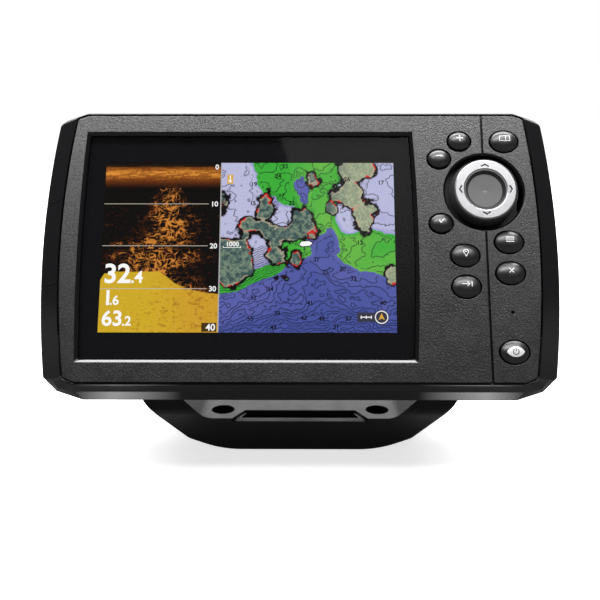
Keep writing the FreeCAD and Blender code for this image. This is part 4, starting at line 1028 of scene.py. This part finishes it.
def ring_marks():
    """Painted arrows in the four recesses of the cursor ring."""
    low, high = head_box("cursor_ring")
    centre = (low + high) / 2
    reach, arm, rise, line = 9.58, 1.3, 0.77, 0.6
    marks = Drawing()
    for angle in (0, 90, 180, 270):
        turn = math.radians(angle)
        path = []
        for side, out in ((-arm, reach - rise), (0.0, reach), (arm, reach - rise)):
            path.append((centre.x / MM + side * math.cos(turn) + out * math.sin(turn),
                         centre.z / MM - side * math.sin(turn) + out * math.cos(turn)))
        marks.stroke(path, line)
    recess = 0.28 * MM
    sheet("cursor_ring_arrows", marks, low.y + recess, MARK_PRINT, "cursor_pad")


# ---- studio ----
# The floor looks pale to the camera, and dark near the object in the object's reflections.
FLOOR_PALE, FLOOR_MIRRORED = (0.8, 0.8, 0.8), (0.07, 0.07, 0.07)
SEEN_GLOW, MIRRORED_GLOW = (0.72, 1.0), (0.05, 0.3)    # near the object and far off
SEEN_REACH, MIRRORED_REACH = (0.12, 0.6), (0.25, 0.9)  # distances over which they change
# The patch of floor that the chin mirrors under each end of the head.
PATCH_GLOW = 4.6
PATCH_RISE, PATCH_FALL = (0.048, 0.074), (0.076, 0.092)        # from the middle, sideways
PATCH_FRONT, PATCH_BACK = (-0.085, -0.075), (-0.0585, -0.0565)  # from front to back

WORLD_FELT = 0.12              # strength of the grey that lights the object from all round
LIGHTS_AIM = (0.0, 0.0, 0.07)
LIGHTS = [                     # name, place, width and height, watts
    ("overhead_softbox", (0.0, -0.39, 1.08), (1.5, 0.5), 21.0),
    ("strip_light", (0.0, 0.4, 1.1), (1.6, 0.24), 20.0),
    ("rear_softbox", (0.0, 1.0, 0.7), (1.6, 0.7), 8.0),
]


def floor_mirrored(recipe, distance):
    """Glow of the floor in reflections: a patch under each end of the head, and pale far off."""
    parts = recipe.add("SeparateXYZ")
    recipe.join(recipe.place, parts.inputs[0])
    side = recipe.add("Math", operation="ABSOLUTE")
    recipe.join(parts.outputs["X"], side.inputs[0])
    rise = recipe.spread(side.outputs["Value"], 0.0, 1.0, *PATCH_RISE)
    fall = recipe.spread(side.outputs["Value"], PATCH_GLOW, 0.0, *PATCH_FALL)
    front = recipe.spread(parts.outputs["Y"], 0.0, 1.0, *PATCH_FRONT)
    back = recipe.spread(parts.outputs["Y"], 1.0, 0.0, *PATCH_BACK)
    patch = recipe.product(recipe.product(rise, fall), recipe.product(front, back))
    total = recipe.add("Math", operation="ADD")
    recipe.join(patch, total.inputs[0])
    recipe.join(recipe.spread(distance, *MIRRORED_GLOW, *MIRRORED_REACH), total.inputs[1])
    return total.outputs["Value"]


def staged(name, points, faces, material):
    """A plain mesh of the studio, no part of the object."""
    mesh = bpy.data.meshes.new(name)
    mesh.from_pydata(points, [], faces)
    mesh.materials.append(material)
    thing = placed(name, mesh)
    thing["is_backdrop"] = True
    return thing


def floor_material():
    recipe = Recipe("pale_floor", FLOOR_PALE, 0.6, specular=0.1)
    seen = recipe.add("LightPath").outputs["Is Camera Ray"]
    away = recipe.add("VectorMath", operation="LENGTH")
    recipe.join(recipe.place, away.inputs[0])
    distance = away.outputs["Value"]
    mix = recipe.add("Mix", data_type="FLOAT")
    mirrored, straight = [s for s in mix.inputs if s.type == "VALUE" and s.name in "AB"]
    recipe.join(seen, mix.inputs["Factor"])
    recipe.join(floor_mirrored(recipe, distance), mirrored)
    recipe.join(recipe.spread(distance, *SEEN_GLOW, *SEEN_REACH), straight)
    recipe.set("Emission Color", (1.0, 1.0, 1.0, 1.0))
    recipe.feed("Emission Strength", mix.outputs["Result"])
    recipe.feed("Base Color", recipe.blend_colour(seen, FLOOR_MIRRORED, FLOOR_PALE))
    recipe.feed("Roughness", recipe.spread(recipe.noise(60 * MM), 0.55, 0.65))
    return recipe.material


def floor():
    """Plain pale floor that runs out to white, just under the object."""
    size, gap = 4.0, 0.02 * MM
    points = [(x, y, 0.0) for x, y in ((-size, -size), (size, -size), (size, size), (-size, size))]
    plane = staged("floor", points, [(0, 1, 2, 3)], floor_material())
    plane.location.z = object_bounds()[0][2] - gap


def all_but_glass():
    """Receivers of the softboxes: everything but the cover glass, so that none whites it out."""
    group = bpy.data.collections.new("softbox_receivers")
    group.objects.link(NODES["screen_glass"])
    group.collection_objects[0].light_linking.link_state = "EXCLUDE"
    return group


def softbox(name, at, size, power, receivers):
    """Soft rectangular studio light aimed at the object."""
    light = bpy.data.lights.new(name, "AREA")
    light.shape = "RECTANGLE"
    light.size, light.size_y = size
    light.energy = power
    lamp = placed(name, light)
    lamp.location = at
    lamp.light_linking.receiver_collection = receivers
    lamp.rotation_euler = (Vector(LIGHTS_AIM) - Vector(at)).to_track_quat("-Z", "Y").to_euler()


def studio():
    """White background seen by the camera, weak grey all round, three soft lights."""
    scene = bpy.context.scene
    scene.view_settings.view_transform = "Standard"
    world = bpy.data.worlds.new("studio")
    scene.world = world
    world.use_nodes = True
    tree = world.node_tree
    tree.nodes.clear()
    output = tree.nodes.new("ShaderNodeOutputWorld")
    mix = tree.nodes.new("ShaderNodeMixShader")
    rays = tree.nodes.new("ShaderNodeLightPath")
    tree.links.new(rays.outputs["Is Camera Ray"], mix.inputs["Fac"])
    for socket, strength in ((1, WORLD_FELT), (2, 1.0)):
        sky = tree.nodes.new("ShaderNodeBackground")
        sky.inputs["Color"].default_value = (1.0, 1.0, 1.0, 1.0)
        sky.inputs["Strength"].default_value = strength
        tree.links.new(sky.outputs["Background"], mix.inputs[socket])
    tree.links.new(mix.outputs["Shader"], output.inputs["Surface"])
    receivers = all_but_glass()
    for light in LIGHTS:
        softbox(*light, receivers)


def reflection_card():
    """Dim card that the glass mirrors at its upper right, fading downward."""
    near, fade_end, far, height = -0.62, -1.2, -1.55, 0.9
    plan = ((-0.045, near), (1.0, near), (1.0, far), (0.12, far))
    recipe = Recipe("dim_card", (0.0, 0.0, 0.0), 0.8, specular=0.0)
    parts = recipe.add("SeparateXYZ")
    recipe.join(recipe.place, parts.inputs[0])
    recipe.set("Emission Color", (1.0, 0.97, 0.94, 1.0))
    recipe.feed("Emission Strength", recipe.spread(parts.outputs["Y"], 0.12, 0.75, fade_end, near))
    points = [(x, y, height) for x, y in plan]
    card = staged("reflection_card", points, [(0, 1, 2, 3)], recipe.material)
    card.visible_camera = False
    card.visible_shadow = False


def camera():
    """Camera at the photo's viewing angle."""
    lens = bpy.data.cameras.new("camera")
    lens.lens, lens.sensor_width = CAMERA_LENS, CAMERA_SENSOR
    lens.clip_start = 0.01
    viewer = placed("camera", lens)
    viewer.location = CAMERA_AT
    forward = Vector((-math.sin(CAMERA_AZIMUTH) * math.cos(CAMERA_PITCH),
                      math.cos(CAMERA_AZIMUTH) * math.cos(CAMERA_PITCH), -math.sin(CAMERA_PITCH)))
    viewer.rotation_euler = forward.to_track_quat("-Z", "Y").to_euler()
    bpy.context.scene.camera = viewer


dress_nodes()
dress_bezel()
dress_keys()
dress_pad()
screen()
key_marks()
ring_marks()
floor()
studio()
reflection_card()
camera()
